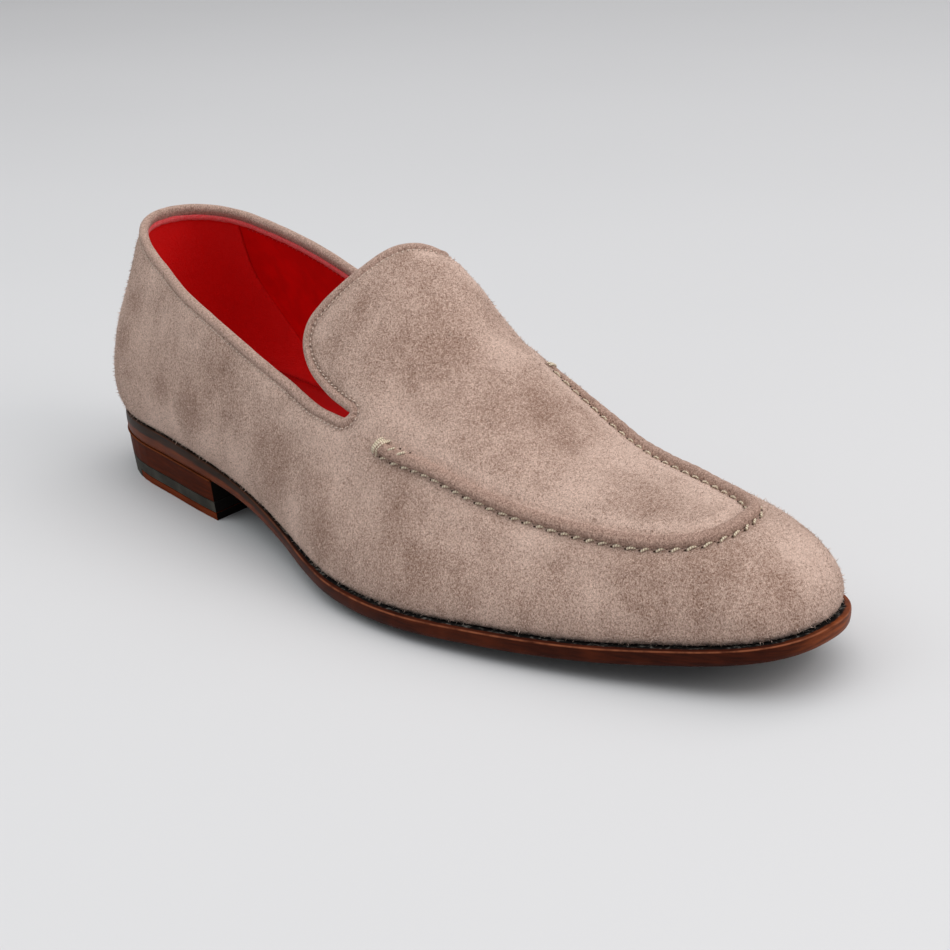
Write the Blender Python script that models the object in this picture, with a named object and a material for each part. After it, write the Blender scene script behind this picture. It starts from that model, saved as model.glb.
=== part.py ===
"""Suede loafer, right shoe, standing empty on its sole. Metres, toe to +X, lateral side to -Y, +Z up.

The last is one function of a station x along the foot and a fraction eta across it. Its sections come
from the table below. The upper, its ridge, the binding, the insole and the sole are all taken from it.
"""
import math
import bpy
import bmesh
import numpy as np
from mathutils import Vector

for old in list(bpy.data.objects):
    bpy.data.objects.remove(old, do_unlink=True)

# Ends of the last, measured from the back of the outsole
HEEL_BACK = 0.0010
HEEL_SIDE = 0.0420
TOE_SIDE = 0.2000
TOE_TIP = 0.2980
HEEL_ROUND = 2.2
TOE_ROUND = 2.5
HEEL_LEAN = 0.643

# Thicknesses and clearances
GAP = 0.0003
WALL = 0.0020
INSOLE = 0.0025
INSOLE_INSET = 0.0026
BINDING = 0.0032
BINDING_PROUD = 0.0004
RIDGE_HALF = 0.0024
RIDGE_HEIGHT = 0.0024
SOLE_ARRIS = 0.0005

# Heel: its breast, the draw-in of its wall over its height, and its layers from the floor up
BREAST = 0.0810
BREAST_HOLLOW = 0.0030
HEEL_HEIGHT = 0.0155
HEEL_TAPER = 0.0016
SEAT_DEPTH = 0.15
TOP_PIECE = 0.0068
INSERT = 0.0027
INSERT_START = 0.0260

# Swell of the wall up its height: powers of its rise and fall, and the height fraction of its peak
SWELL_RISE = 0.8
SWELL_FALL = 3.2
SWELL_AT = SWELL_RISE / (SWELL_RISE + SWELL_FALL)
SWELL_PEAK = SWELL_AT ** SWELL_RISE * (1 - SWELL_AT) ** SWELL_FALL

# Finishes
TAUPE = (0.40, 0.31, 0.26)
RED = (0.45, 0.005, 0.008)
SOLE_BROWN = (0.10, 0.035, 0.02)
STACK_BROWN = (0.09, 0.035, 0.02)
INSERT_BROWN = (0.28, 0.10, 0.04)
RUBBER_GREY = (0.03, 0.03, 0.032)
NAPPED, POLISHED, DULL = 0.95, 0.5, 0.7

# Step of a place or a fraction for measuring slopes, and a reach beyond the whole shoe
STEP = 0.004
BEYOND = 0.2

# Sections of the last. Half widths and feather height are where the wall meets the sole, crown is the
# height of the top line, lean its shift to the medial side, flat and steep shape the arch of the
# section, and bulge is how far the wall swells beyond the feather line
SECTION_COLUMNS = ("x", "lateral", "medial", "feather", "crown", "lean", "flat", "steep", "bulge")
SECTIONS = (
    (0.000, 0.0313, 0.0315, 0.0233, 0.1120, 0.0020, 1.97, 1.63, 0.0044),
    (0.040, 0.0318, 0.0312, 0.0233, 0.1110, 0.0014, 2.03, 1.88, 0.0042),
    (0.070, 0.0348, 0.0295, 0.0223, 0.1140, 0.0014, 2.02, 2.06, 0.0045),
    (0.100, 0.0369, 0.0272, 0.0185, 0.1092, 0.0038, 1.93, 2.44, 0.0046),
    (0.130, 0.0423, 0.0292, 0.0128, 0.1030, 0.0082, 1.84, 1.86, 0.0039),
    (0.146, 0.0465, 0.0327, 0.0102, 0.0996, 0.0109, 1.82, 1.67, 0.0034),
    (0.160, 0.0495, 0.0362, 0.0088, 0.0911, 0.0117, 1.80, 1.59, 0.0031),
    (0.175, 0.0502, 0.0398, 0.0081, 0.0766, 0.0099, 1.82, 1.63, 0.0029),
    (0.190, 0.0492, 0.0428, 0.0081, 0.0674, 0.0078, 1.93, 1.74, 0.0027),
    (0.220, 0.0427, 0.0445, 0.0094, 0.0505, 0.0038, 2.16, 1.84, 0.0023),
    (0.250, 0.0344, 0.0441, 0.0109, 0.0480, 0.0018, 2.51, 1.96, 0.0020),
    (0.275, 0.0286, 0.0441, 0.0137, 0.0499, 0.0003, 2.85, 2.15, 0.0017),
    (0.300, 0.0294, 0.0461, 0.0179, 0.0526, 0.0000, 3.09, 2.22, 0.0014),
)

# Outsole: width beyond the feather line, thickness, and how far the middle hangs below the rim
SOLE_COLUMNS = ("x", "edge", "thick", "cup")
SOLE = (
    (0.000, 0.0010, 0.0075, 0.0000),
    (0.060, 0.0010, 0.0072, 0.0000),
    (0.090, 0.0010, 0.0058, 0.0004),
    (0.120, 0.0012, 0.0050, 0.0016),
    (0.150, 0.0020, 0.0048, 0.0032),
    (0.185, 0.0030, 0.0048, 0.0038),
    (0.240, 0.0032, 0.0048, 0.0034),
    (0.300, 0.0032, 0.0048, 0.0022),
)

# Lower line of the binding along the quarters, seen from the side
EDGE_COLUMNS = ("x", "lateral", "medial")
EDGE = (
    (0.000, 0.0890, 0.0890),
    (0.010, 0.0870, 0.0887),
    (0.020, 0.0850, 0.0881),
    (0.040, 0.0804, 0.0862),
    (0.060, 0.0749, 0.0832),
    (0.080, 0.0701, 0.0783),
    (0.100, 0.0645, 0.0713),
    (0.123, 0.0577, 0.0626),
    (0.140, 0.0531, 0.0574),
    (0.154, 0.0516, 0.0556),
)

# Front end of the slit beside the tongue, as a station and a fraction across
SLIT_X = 0.1540
SLIT_ETA = 0.777
SLIT_LENGTH = 0.0042
SLIT_ETA_HALF = 0.031
SLIT_SKEW = 0.022

SLIT_MEDIAL = 0.96

# Lower line of the binding round the tongue's lateral and medial halves, from the slit to the top's middle
TONGUE_COLUMNS = ("lateral_x", "lateral_eta", "medial_x", "medial_eta")
TONGUE = (
    (0.1450, 0.762, 0.1460, 0.732),
    (0.1360, 0.757, 0.1390, 0.725),
    (0.1307, 0.727, 0.1350, 0.698),
    (0.1297, 0.671, 0.1343, 0.653),
    (0.1321, 0.596, 0.1366, 0.581),
    (0.1365, 0.485, 0.1412, 0.470),
    (0.1406, 0.375, 0.1462, 0.355),
    (0.1439, 0.251, 0.1500, 0.254),
    (0.1463, 0.150, 0.1522, 0.134),
    (0.1503, 0.000, 0.1503, 0.000),
)

# Middle of the apron ridge: place along the outline (whole numbers are the corners of its six
# stretches, see column) and fraction in from the outline
RIDGE_COLUMNS = ("place", "rho")
RIDGE = (
    (1.735, 0.782),
    (1.81, 0.759),
    (1.90, 0.735),
    (1.98, 0.721),
    (2.06, 0.701),
    (2.17, 0.690),
    (2.29, 0.712),
    (2.40, 0.744),
    (2.52, 0.772),
    (2.66, 0.782),
    (2.82, 0.766),
    (3.00, 0.744),
    (3.14, 0.716),
    (3.26, 0.630),
    (3.36, 0.548),
    (3.47, 0.488),
    (3.61, 0.452),
    (3.80, 0.432),
    (3.96, 0.385),
    (4.06, 0.345),
    (4.13, 0.400),
    (4.19, 0.560),
    (4.265, 0.757),
)
RIDGE_ENDS = (1.80, 4.085)
RIDGE_FADE = 0.05


def lookup(table, columns, name, at):
    """Smooth curve through one column of a table, over its first column."""
    xs = np.array([row[0] for row in table])
    ys = np.array([row[columns.index(name)] for row in table])
    slopes = np.gradient(ys, xs)
    i = int(np.clip(np.searchsorted(xs, at) - 1, 0, len(xs) - 2))
    h = xs[i + 1] - xs[i]
    t = min(max((at - xs[i]) / h, -0.1), 1.1)
    a = (1 + 2 * t) * (1 - t) ** 2 * ys[i] + t * (1 - t) ** 2 * h * slopes[i]
    b = t * t * (3 - 2 * t) * ys[i + 1] + t * t * (t - 1) * h * slopes[i + 1]
    return float(a + b)


def section(name, x):
    return lookup(SECTIONS, SECTION_COLUMNS, name, x)


def sole(name, x):
    return lookup(SOLE, SOLE_COLUMNS, name, x)


def plan(x):
    """Middle line and half width of the feather outline before its ends are rounded."""
    lateral = section("lateral", x)
    medial = section("medial", x)
    return (medial - lateral) / 2, (medial + lateral) / 2


def arch(x, rho):
    """Height fraction of the section, 0 at the feather line and 1 at the crown."""
    inside = max(0.0, 1 - min(rho, 1.0) ** section("flat", x))
    return inside ** (1 / section("steep", x))


def arch_rho(x, height):
    """Fraction in from the outline at which the arch has a height fraction."""
    return (1 - min(max(height, 0.0), 1.0) ** section("steep", x)) ** (1 / section("flat", x))


def swell(x, height):
    """Outward swell of the wall at a height fraction."""
    return section("bulge", x) * height ** SWELL_RISE * (1 - height) ** SWELL_FALL / SWELL_PEAK


def place_point(x_plan, x_shape, eta, rho, out):
    """Point of the last from its plan place, its section and the outward direction in plan."""
    middle, half = plan(x_shape)
    height = arch(x_shape, rho)
    low = section("feather", x_shape)
    push = swell(x_shape, height)
    y = middle + eta * half + section("lean", x_shape) * height
    z = low + (section("crown", x_shape) - low) * height
    return Vector((x_plan + push * out[0], y + push * out[1], z))


def direction(dx, dy):
    length = math.hypot(dx, dy) + 1e-9
    return dx / length, dy / length


def last(x, eta):
    """Outside of the upper at a station and a fraction across, for stations ahead of the heel."""
    xi = max(0.0, (x - TOE_SIDE) / (TOE_TIP - TOE_SIDE))
    rho = (abs(eta) ** TOE_ROUND + xi ** TOE_ROUND) ** (1 / TOE_ROUND)
    half = plan(x)[1]
    dx = xi ** (TOE_ROUND - 1) / (TOE_TIP - TOE_SIDE)
    dy = math.copysign(abs(eta) ** (TOE_ROUND - 1) / half, eta)
    return place_point(x, x, eta, rho, direction(dx, dy))


def column(place):
    """Stretch of the outline: heel, side and toe on the lateral side, then back on the medial one."""
    place = place % 6
    hand = -1 if place < 3 else 1
    along = place if place < 3 else 6 - place
    if along < 1:
        angle = along * math.pi / 2
        return hand, "heel", math.cos(angle) ** (2 / HEEL_ROUND), math.sin(angle) ** (2 / HEEL_ROUND)
    if along <= 2:
        return hand, "side", HEEL_SIDE + (along - 1) * (TOE_SIDE - HEEL_SIDE), 1.0
    angle = (along - 2) * math.pi / 2
    return hand, "toe", math.sin(angle) ** (2 / TOE_ROUND), max(0.0, math.cos(angle)) ** (2 / TOE_ROUND)


def side_place(x, hand):
    """Place on the outline of a station along the side."""
    along = 1 + (x - HEEL_SIDE) / (TOE_SIDE - HEEL_SIDE)
    return along if hand < 0 else 6 - along


def outline_x(place):
    hand, kind, a, b = column(place)
    if kind == "heel":
        return HEEL_SIDE - a * (HEEL_SIDE - HEEL_BACK)
    if kind == "side":
        return a
    return TOE_SIDE + a * (TOE_TIP - TOE_SIDE)


def inner_place(place, rho):
    """Station and fraction across of a point in from the outline, on the side or the toe."""
    hand, kind, a, b = column(place)
    x = a if kind == "side" else TOE_SIDE + rho * a * (TOE_TIP - TOE_SIDE)
    return x, hand * rho * b


def wall(place, rho):
    """Outside of the upper at a place on the outline and a fraction in from it."""
    hand, kind, a, b = column(place)
    if kind != "heel":
        return last(*inner_place(place, rho))
    shape = outline_x(place)
    depth = HEEL_SIDE - HEEL_BACK
    x = HEEL_SIDE - a * (1 - HEEL_LEAN * (1 - rho)) * depth
    half = plan(shape)[1]
    out = direction(-(a ** (HEEL_ROUND - 1)) / depth, hand * b ** (HEEL_ROUND - 1) / half)
    return place_point(x, shape, hand * rho * b, rho, out)


def ridge_rho(place):
    return lookup(RIDGE, RIDGE_COLUMNS, "rho", place)


def ridge_lift(place):
    """Height of the ridge along the outline, run out at its two ends."""
    near = min(place % 6 - RIDGE_ENDS[0], RIDGE_ENDS[1] - place % 6) / RIDGE_FADE
    t = min(max(near, 0.0), 1.0)
    return RIDGE_HEIGHT * t * t * (3 - 2 * t)


def rho_step(place, rho, distance):
    """Change of rho that covers a distance on the surface."""
    return distance * STEP / (wall(place, rho + STEP / 2) - wall(place, rho - STEP / 2)).length


def edge_rho(place):
    """Fraction in from the outline at the lower line of the binding on the quarters."""
    x = outline_x(place)
    z = lookup(EDGE, EDGE_COLUMNS, "lateral" if column(place)[0] < 0 else "medial", x)
    low = section("feather", x)
    return arch_rho(x, (z - low) / (section("crown", x) - low))


def feather(place):
    """Point of the feather line and the outward direction in plan."""
    p = wall(place, 1.0)
    t = wall(place + STEP, 1.0) - wall(place - STEP, 1.0)
    n = Vector((t.y, -t.x, 0.0)).normalized()
    return p, n


def floor_of_last(x, fraction):
    """Bottom of the last, hanging in the middle below its feather line."""
    return section("feather", x) - sole("cup", x) * (1 - fraction * fraction)


def spine(place):
    """Point on the middle line that the rows of the sole run to."""
    hand, kind, a, b = column(place)
    x = {"heel": HEEL_SIDE, "side": a, "toe": TOE_SIDE}[kind]
    return x, plan(x)[0]


def plate_point(place, fraction, edge):
    """Plan place of a plate that fills the feather outline widened by an edge."""
    p, n = feather(place)
    x, y = spine(place)
    rim = p + n * edge
    return x + (rim.x - x) * fraction, y + (rim.y - y) * fraction


def spread(start, end, count):
    return [start + (end - start) * i / count for i in range(count)]


def lerp(a, b, t):
    return a + (b - a) * t


# Places of the columns round the shoe. The front ones, from slit to slit, carry the apron
SLIT_STEPS = 4
QUARTER_STEPS = 12
HEEL_STEPS = 20
SIDE_STEPS = 15
FRONT_STEPS = 16
TONGUE_STEPS = 10
TONGUE_FINE = 6
TONGUE_CORNER = 8
SLIT_FRONT = SLIT_X + SLIT_LENGTH
FRONT_LATERAL = 2.50
FRONT_MEDIAL = 3.46


def front_places():
    lateral = spread(side_place(SLIT_FRONT, -1), FRONT_LATERAL, SIDE_STEPS)
    front = spread(FRONT_LATERAL, FRONT_MEDIAL, FRONT_STEPS)
    medial = spread(FRONT_MEDIAL, side_place(SLIT_FRONT, 1), SIDE_STEPS)
    return lateral + front + medial + [side_place(SLIT_FRONT, 1)]


def slit_angles():
    return [math.pi / 2 * i / SLIT_STEPS for i in range(1, SLIT_STEPS + 1)]


def slit_end(angle, upper):
    """Station and fraction across on the rounded end of the slit, from its front round."""
    eta = SLIT_ETA - SLIT_ETA_HALF * math.sin(angle) * (1 if upper else -1)
    return SLIT_X + SLIT_LENGTH * math.cos(angle), eta - SLIT_SKEW * math.cos(angle)


def quarter_places():
    """Places and fractions of the quarters' edge, from the medial slit round the heel to the lateral."""
    medial = []
    for angle in slit_angles():
        x, eta = slit_end(angle, False)
        medial.append((side_place(x, 1), eta * SLIT_MEDIAL))
    lateral = [(6 - place, eta / SLIT_MEDIAL) for place, eta in reversed(medial)]
    start = side_place(SLIT_X, 1)
    heel = side_place(HEEL_SIDE, 1)
    between = spread(start, heel, QUARTER_STEPS)[1:] + spread(heel, 12 - heel, HEEL_STEPS)
    between += spread(12 - heel, 12 - start, QUARTER_STEPS)
    return medial + [(p, edge_rho(p)) for p in between] + lateral


def tongue_half(hand):
    """Half of the tongue's edge as stations and fractions, from the slit's front to the top's middle."""
    side = "lateral" if hand < 0 else "medial"
    across = 1.0 if hand < 0 else SLIT_MEDIAL
    at_x = TONGUE_COLUMNS.index(side + "_x")
    at_eta = TONGUE_COLUMNS.index(side + "_eta")
    ends = [slit_end(angle, True) for angle in [0.0] + slit_angles()]
    points = [(x, eta * across) for x, eta in ends] + [(row[at_x], row[at_eta]) for row in TONGUE]
    rows = [(k, x, hand * eta) for k, (x, eta) in enumerate(points)]
    columns = ("k", "x", "eta")
    out = []
    for i in range((len(rows) - 1) * TONGUE_FINE + 1):
        k = i / TONGUE_FINE
        out.append((lookup(rows, columns, "x", k), lookup(rows, columns, "eta", k)))
    return out


def resample(points, count):
    """Points spread evenly over the surface along a line of stations and fractions, both ends kept."""
    solid = [last(x, eta) for x, eta in points]
    run = [0.0]
    for a, b in zip(solid, solid[1:]):
        run.append(run[-1] + (b - a).length)
    out = []
    for i in range(count + 1):
        at = run[-1] * i / count
        k = min(max(int(np.searchsorted(run, at)) - 1, 0), len(points) - 2)
        t = (at - run[k]) / (run[k + 1] - run[k])
        out.append(tuple(lerp(a, b, t) for a, b in zip(points[k], points[k + 1])))
    return out


WALL_ROWS = 9


def column_rows(place, edge):
    """Fractions in from the outline, feather line to edge, the last two rows spanning the ridge."""
    x = outline_x(place)
    step = rho_step(place, edge, RIDGE_HALF)
    top = arch(x, edge + 2 * step)
    rows = [arch_rho(x, top * i / (WALL_ROWS - 2)) for i in range(WALL_ROWS - 1)]
    rows[0] = 1.0
    rows[-1] = edge + 2 * step
    return rows + [edge + step, edge]


def tongue_grid(front):
    """Stations and fractions of the apron and tongue, a grid between its four edges."""
    rows = TONGUE_STEPS + SIDE_STEPS
    outer = tongue_half(-1)
    inner = tongue_half(1)
    corner = TONGUE_CORNER * TONGUE_FINE
    top = outer[corner:] + list(reversed(inner[corner:-1]))
    lateral = list(reversed(resample(outer[:corner + 1], TONGUE_STEPS))) + front[1:SIDE_STEPS + 1]
    medial = list(reversed(resample(inner[:corner + 1], TONGUE_STEPS)))
    medial += list(reversed(front[SIDE_STEPS + FRONT_STEPS:-1]))
    back = resample(top, FRONT_STEPS)
    ahead = front[SIDE_STEPS:SIDE_STEPS + FRONT_STEPS + 1]
    grid = []
    for i in range(rows + 1):
        v = i / rows
        line = []
        for j in range(FRONT_STEPS + 1):
            u = j / FRONT_STEPS
            value = []
            for k in range(2):
                sides = lerp(lateral[i][k], medial[i][k], u) + lerp(back[j][k], ahead[j][k], v)
                corners = lerp(lerp(back[0][k], back[-1][k], u), lerp(ahead[0][k], ahead[-1][k], u), v)
                value.append(sides - corners)
            line.append(tuple(value))
        grid.append(line)
    return grid


def new_object(name, mesh, colour, roughness):
    material = bpy.data.materials.new(name)
    material.use_nodes = True
    shader = material.node_tree.nodes["Principled BSDF"]
    shader.inputs["Base Color"].default_value = (*colour, 1.0)
    shader.inputs["Roughness"].default_value = roughness
    data = bpy.data.meshes.new(name)
    bmesh.ops.recalc_face_normals(mesh, faces=mesh.faces)
    if mesh.calc_volume(signed=True) < 0:
        bmesh.ops.reverse_faces(mesh, faces=mesh.faces)
    mesh.to_mesh(data)
    mesh.free()
    data.materials.append(material)
    item = bpy.data.objects.new(name, data)
    bpy.context.scene.collection.objects.link(item)
    return item


def upper_skin():
    """Base skin of the upper: one sheet of quads with the free edge and the ridge's lift by vertex."""
    bm = bmesh.new()
    places = front_places()
    edges = []
    for place in places:
        rho = ridge_rho(place)
        edges.append(rho - rho_step(place, rho, RIDGE_HALF))
    edges[0] = slit_end(0.0, True)[1]
    edges[-1] = edges[0] * SLIT_MEDIAL
    quarters = quarter_places()
    columns = list(zip(places, edges)) + quarters
    lift = {}
    ring = []
    for place, edge in columns:
        line = [bm.verts.new(wall(place, rho)) for rho in column_rows(place, edge)]
        lift[line[-2]] = ridge_lift(place)
        ring.append(line)
    for a, b in zip(ring, ring[1:] + ring[:1]):
        for k in range(WALL_ROWS):
            bm.faces.new((a[k], b[k], b[k + 1], a[k + 1]))
    front = [inner_place(place, edge) for place, edge in zip(places, edges)]
    grid = tongue_grid(front)
    rows = len(grid) - 1
    verts = []
    for i, line in enumerate(grid):
        row = []
        for j, (x, eta) in enumerate(line):
            k = None
            if i == rows:
                k = SIDE_STEPS + j
            elif i >= TONGUE_STEPS and j == 0:
                k = i - TONGUE_STEPS
            elif i >= TONGUE_STEPS and j == FRONT_STEPS:
                k = 2 * SIDE_STEPS + FRONT_STEPS - (i - TONGUE_STEPS)
            row.append(bm.verts.new(last(x, eta)) if k is None else ring[k][-1])
        verts.append(row)
    for i in range(rows):
        for j in range(FRONT_STEPS):
            bm.faces.new((verts[i][j], verts[i][j + 1], verts[i + 1][j + 1], verts[i + 1][j]))
    bmesh.ops.recalc_face_normals(bm, faces=bm.faces)
    bm.normal_update()
    if max(bm.verts, key=lambda v: v.co.z).normal.z < 0:
        bmesh.ops.reverse_faces(bm, faces=bm.faces)
        bm.normal_update()
    tongue = [verts[i][0] for i in range(TONGUE_STEPS, 0, -1)] + verts[0]
    tongue += [verts[i][-1] for i in range(1, TONGUE_STEPS + 1)]
    free = tongue + [line[-1] for line in ring[len(places):]]
    feet = [line[0] for line in ring]
    return bm, lift, free, feet


def make_upper():
    """Skin given its wall, the ridge raised on the outside only."""
    bm, lift, free, feet = upper_skin()
    outer = list(bm.verts)
    faces = list(bm.faces)
    normals = {v: v.normal.copy() for v in outer}
    path = [(v.co.copy(), normals[v].copy()) for v in free]
    inner = {}
    low = set(feet)
    for v in outer:
        n = normals[v]
        if v in low:
            n = Vector((n.x, n.y, 0.0)).normalized()
        inner[v] = bm.verts.new(v.co - n * WALL)
    for face in faces:
        bm.faces.new([inner[v] for v in reversed(face.verts)])
    for loop in (free, feet):
        for a, b in zip(loop, loop[1:] + loop[:1]):
            bm.faces.new((a, b, inner[b], inner[a]))
    for v, height in lift.items():
        v.co += normals[v] * height
    return new_object("upper", bm, TAUPE, NAPPED), path


# Outline of the binding as shares of its width and, from its outside, of its thickness
BINDING_PROFILE = (
    (0.00, 0.07),
    (0.45, 0.00),
    (0.85, 0.11),
    (1.00, 0.50),
    (0.85, 0.87),
    (0.45, 1.00),
    (0.00, 0.91),
)


def make_binding(path):
    """Rounded strip that carries on from the upper's edge all round the opening."""
    thick = WALL + 2 * BINDING_PROUD
    profile = [(max(GAP, BINDING * a), BINDING_PROUD - thick * d) for a, d in BINDING_PROFILE]
    bm = bmesh.new()
    count = len(path)
    rings = []
    for i, (p, n) in enumerate(path):
        t = (path[(i + 1) % count][0] - path[i - 1][0]).normalized()
        away = n.cross(t).normalized()
        out = t.cross(away).normalized()
        if out.dot(n) < 0:
            out.negate()
        rings.append([bm.verts.new(p + away * b + out * d) for b, d in profile])
    for a, b in zip(rings, rings[1:] + rings[:1]):
        for k in range(len(profile)):
            m = (k + 1) % len(profile)
            bm.faces.new((a[k], a[m], b[m], b[k]))
    return new_object("collar_binding", bm, TAUPE, NAPPED)


def plate(name, places, levels, colour, roughness, closed=True):
    """Plate over the outline: each level gives a point at a place, from the top's middle to the base's."""
    bm = bmesh.new()
    lines = []
    for place in places:
        line = []
        for level in levels:
            line.append(bm.verts.new(level(place)))
        lines.append(line)
    pairs = list(zip(lines, lines[1:] + lines[:1])) if closed else list(zip(lines, lines[1:]))
    for a, b in pairs:
        for k in range(len(levels) - 1):
            bm.faces.new((a[k], b[k], b[k + 1], a[k + 1]))
    if not closed:
        last_level = len(levels) - 1
        for line in (lines[0], lines[-1]):
            for k in range(len(levels) // 2 - 1):
                bm.faces.new((line[k], line[k + 1], line[last_level - k - 1], line[last_level - k]))
    bmesh.ops.remove_doubles(bm, verts=bm.verts, dist=0.00005)
    bmesh.ops.dissolve_degenerate(bm, edges=bm.edges, dist=0.00002)
    return new_object(name, bm, colour, roughness)


# Columns of the sole's plates along the heel, side and toe, and of the heel's layers along the same
SOLE_STEPS = (9, 22, 18)
LAYER_STEPS = (6, 22)


def round_places():
    lateral = []
    for corner, steps in enumerate(SOLE_STEPS):
        lateral += spread(corner, corner + 1, steps)
    return lateral + [6 - p for p in [3.0] + list(reversed(lateral[1:]))]


def true_fraction(place, x, y):
    """Fraction of a plan place from the middle line to the feather line, 1 beyond it."""
    p = feather(place)[0]
    sx, sy = spine(place)
    return min(1.0, math.hypot(x - sx, y - sy) / math.hypot(p.x - sx, p.y - sy))


def sole_top(place, fraction, edge=0.0):
    x, y = plate_point(place, fraction, edge)
    return Vector((x, y, floor_of_last(x, true_fraction(place, x, y)) - GAP))


def sole_bottom(place, fraction, edge):
    x, y = plate_point(place, fraction, edge)
    height = floor_of_last(x, true_fraction(place, x, y)) - GAP - sole("thick", x)
    return Vector((x, y, max(0.0, height)))


TOP_ROWS = (0.0, 0.25, 0.5, 0.75, 1.0)
BASE_ROWS = (0.0, 0.25, 0.5, 0.75, 0.92)


def make_outsole():
    levels = [lambda p, f=f: sole_top(p, f) for f in TOP_ROWS]

    def edge(p):
        return sole("edge", outline_x(p))

    def rim(p, inset, drop, lift):
        x, y = plate_point(p, 1.0, edge(p) - inset)
        top = floor_of_last(x, 1.0) - GAP
        z = top - drop if lift is None else top - sole("thick", x) + lift
        return Vector((x, y, z))

    levels.append(lambda p: rim(p, SOLE_ARRIS, 0.0, None))
    levels.append(lambda p: rim(p, 0.0, SOLE_ARRIS, None))
    levels.append(lambda p: rim(p, SOLE_ARRIS / 2, 0.0, SOLE_ARRIS))
    levels.append(lambda p: rim(p, SOLE_ARRIS * 1.5, 0.0, 0.0))
    levels += [lambda p, f=f: sole_bottom(p, f, edge(p)) for f in reversed(BASE_ROWS)]
    return plate("outsole", round_places(), levels, SOLE_BROWN, POLISHED)


def make_insole():
    base = Vector((0, 0, 1.5 * GAP))
    top = base + Vector((0, 0, INSOLE))
    levels = [lambda p, f=f: sole_top(p, f, -INSOLE_INSET) + top for f in TOP_ROWS]
    levels += [lambda p, f=f: sole_top(p, f, -INSOLE_INSET) + base for f in reversed(TOP_ROWS)]
    return plate("insole", round_places(), levels, RED, POLISHED)


def heel_places():
    start = side_place(BREAST, -1)
    heel = side_place(HEEL_SIDE, -1)
    side, back = LAYER_STEPS
    return spread(start, heel, side) + spread(heel, -heel, back) + spread(-heel, -start, side) + [-start]


def heel_point(place, fraction, depth, z):
    """Plan place inside the heel, its breast hollowed and its wall drawn in with depth."""
    edge = sole("edge", outline_x(place)) - HEEL_TAPER * depth
    x, y = plate_point(place, fraction, edge)
    ahead = max(0.0, (outline_x(place) - HEEL_SIDE) / (BREAST - HEEL_SIDE))
    return Vector((x - BREAST_HOLLOW * (1 - fraction * fraction) * ahead, y, z))


def heel_slab(name, low, high, colour, roughness):
    """Layer of the heel between two heights. A height of None is the underside of the outsole."""
    top_depth = SEAT_DEPTH if high is None else 1 - high / HEEL_HEIGHT
    low_depth = 1 - low / HEEL_HEIGHT
    fractions = (0.0, 0.5, 1.0)

    def top(p, f):
        point = heel_point(p, f, top_depth, 0.0)
        under = floor_of_last(point.x, f) - sole("thick", point.x) - 2 * GAP
        point.z = under if high is None else high
        return point

    levels = [lambda p, f=f: top(p, f) for f in fractions]
    levels += [lambda p, f=f: heel_point(p, f, low_depth, low) for f in reversed(fractions)]
    return plate(name, heel_places(), levels, colour, roughness, closed=False)


def box(name, low, high):
    bm = bmesh.new()
    bmesh.ops.create_cube(bm, size=1.0)
    size = [b - a for a, b in zip(low, high)]
    middle = [(a + b) / 2 for a, b in zip(low, high)]
    bmesh.ops.scale(bm, verts=bm.verts, vec=size)
    bmesh.ops.translate(bm, verts=bm.verts, vec=middle)
    item = new_object(name, bm, (0.5, 0.5, 0.5), 0.5)
    item.hide_render = True
    item.display_type = "WIRE"
    return item


def cut(item, cutter, operation):
    modifier = item.modifiers.new(cutter.name, "BOOLEAN")
    modifier.operation = operation
    modifier.solver = "EXACT"
    modifier.object = cutter


upper, binding_path = make_upper()
binding = make_binding(binding_path)
outsole = make_outsole()
insole = make_insole()
heel = heel_slab("heel_stack", TOP_PIECE + GAP, None, STACK_BROWN, POLISHED)
top_piece = heel_slab("heel_top_piece", 0.0, TOP_PIECE, RUBBER_GREY, DULL)
insert = heel_slab("heel_insert", 0.0, INSERT, INSERT_BROWN, POLISHED)
recess = box("recess", (INSERT_START, -BEYOND, -BEYOND), (BEYOND, BEYOND, INSERT + GAP))
insert_end = box("insert_end", (INSERT_START + GAP, -BEYOND, -BEYOND), (BEYOND, BEYOND, BEYOND))
cut(top_piece, recess, "DIFFERENCE")
cut(insert, insert_end, "INTERSECT")

# The frame's origin is below the middle of the shoe
bpy.context.view_layer.update()
corners = [Vector(v.co) for item in (upper, binding, outsole) for v in item.data.vertices]
middle_x = (min(c.x for c in corners) + max(c.x for c in corners)) / 2
middle_y = (min(c.y for c in corners) + max(c.y for c in corners)) / 2
for item in bpy.data.objects:
    item.location = (-middle_x, -middle_y, 0.0)
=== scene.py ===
"""Looks of the suede loafer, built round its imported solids. Metres, toe to +X, lateral side to -Y.

Shapes are worked out with x from the back of the outsole, as in the part, and moved to the frame by piece().
"""
import math

import bmesh
import bpy
import numpy as np
from mathutils import Matrix, Vector, kdtree, noise


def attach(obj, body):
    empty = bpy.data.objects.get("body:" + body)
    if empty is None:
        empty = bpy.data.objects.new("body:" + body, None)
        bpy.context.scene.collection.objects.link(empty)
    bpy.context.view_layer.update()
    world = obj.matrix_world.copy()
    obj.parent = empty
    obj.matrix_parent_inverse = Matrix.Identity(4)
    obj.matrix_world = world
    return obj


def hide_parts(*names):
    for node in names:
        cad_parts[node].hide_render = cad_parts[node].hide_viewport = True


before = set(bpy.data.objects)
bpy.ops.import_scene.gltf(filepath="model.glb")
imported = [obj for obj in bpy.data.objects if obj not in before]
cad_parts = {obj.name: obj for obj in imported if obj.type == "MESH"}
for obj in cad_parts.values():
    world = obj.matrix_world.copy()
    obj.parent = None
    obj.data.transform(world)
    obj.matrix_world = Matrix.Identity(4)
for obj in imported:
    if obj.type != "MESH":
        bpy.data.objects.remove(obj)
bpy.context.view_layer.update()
MM = 0.001
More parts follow.
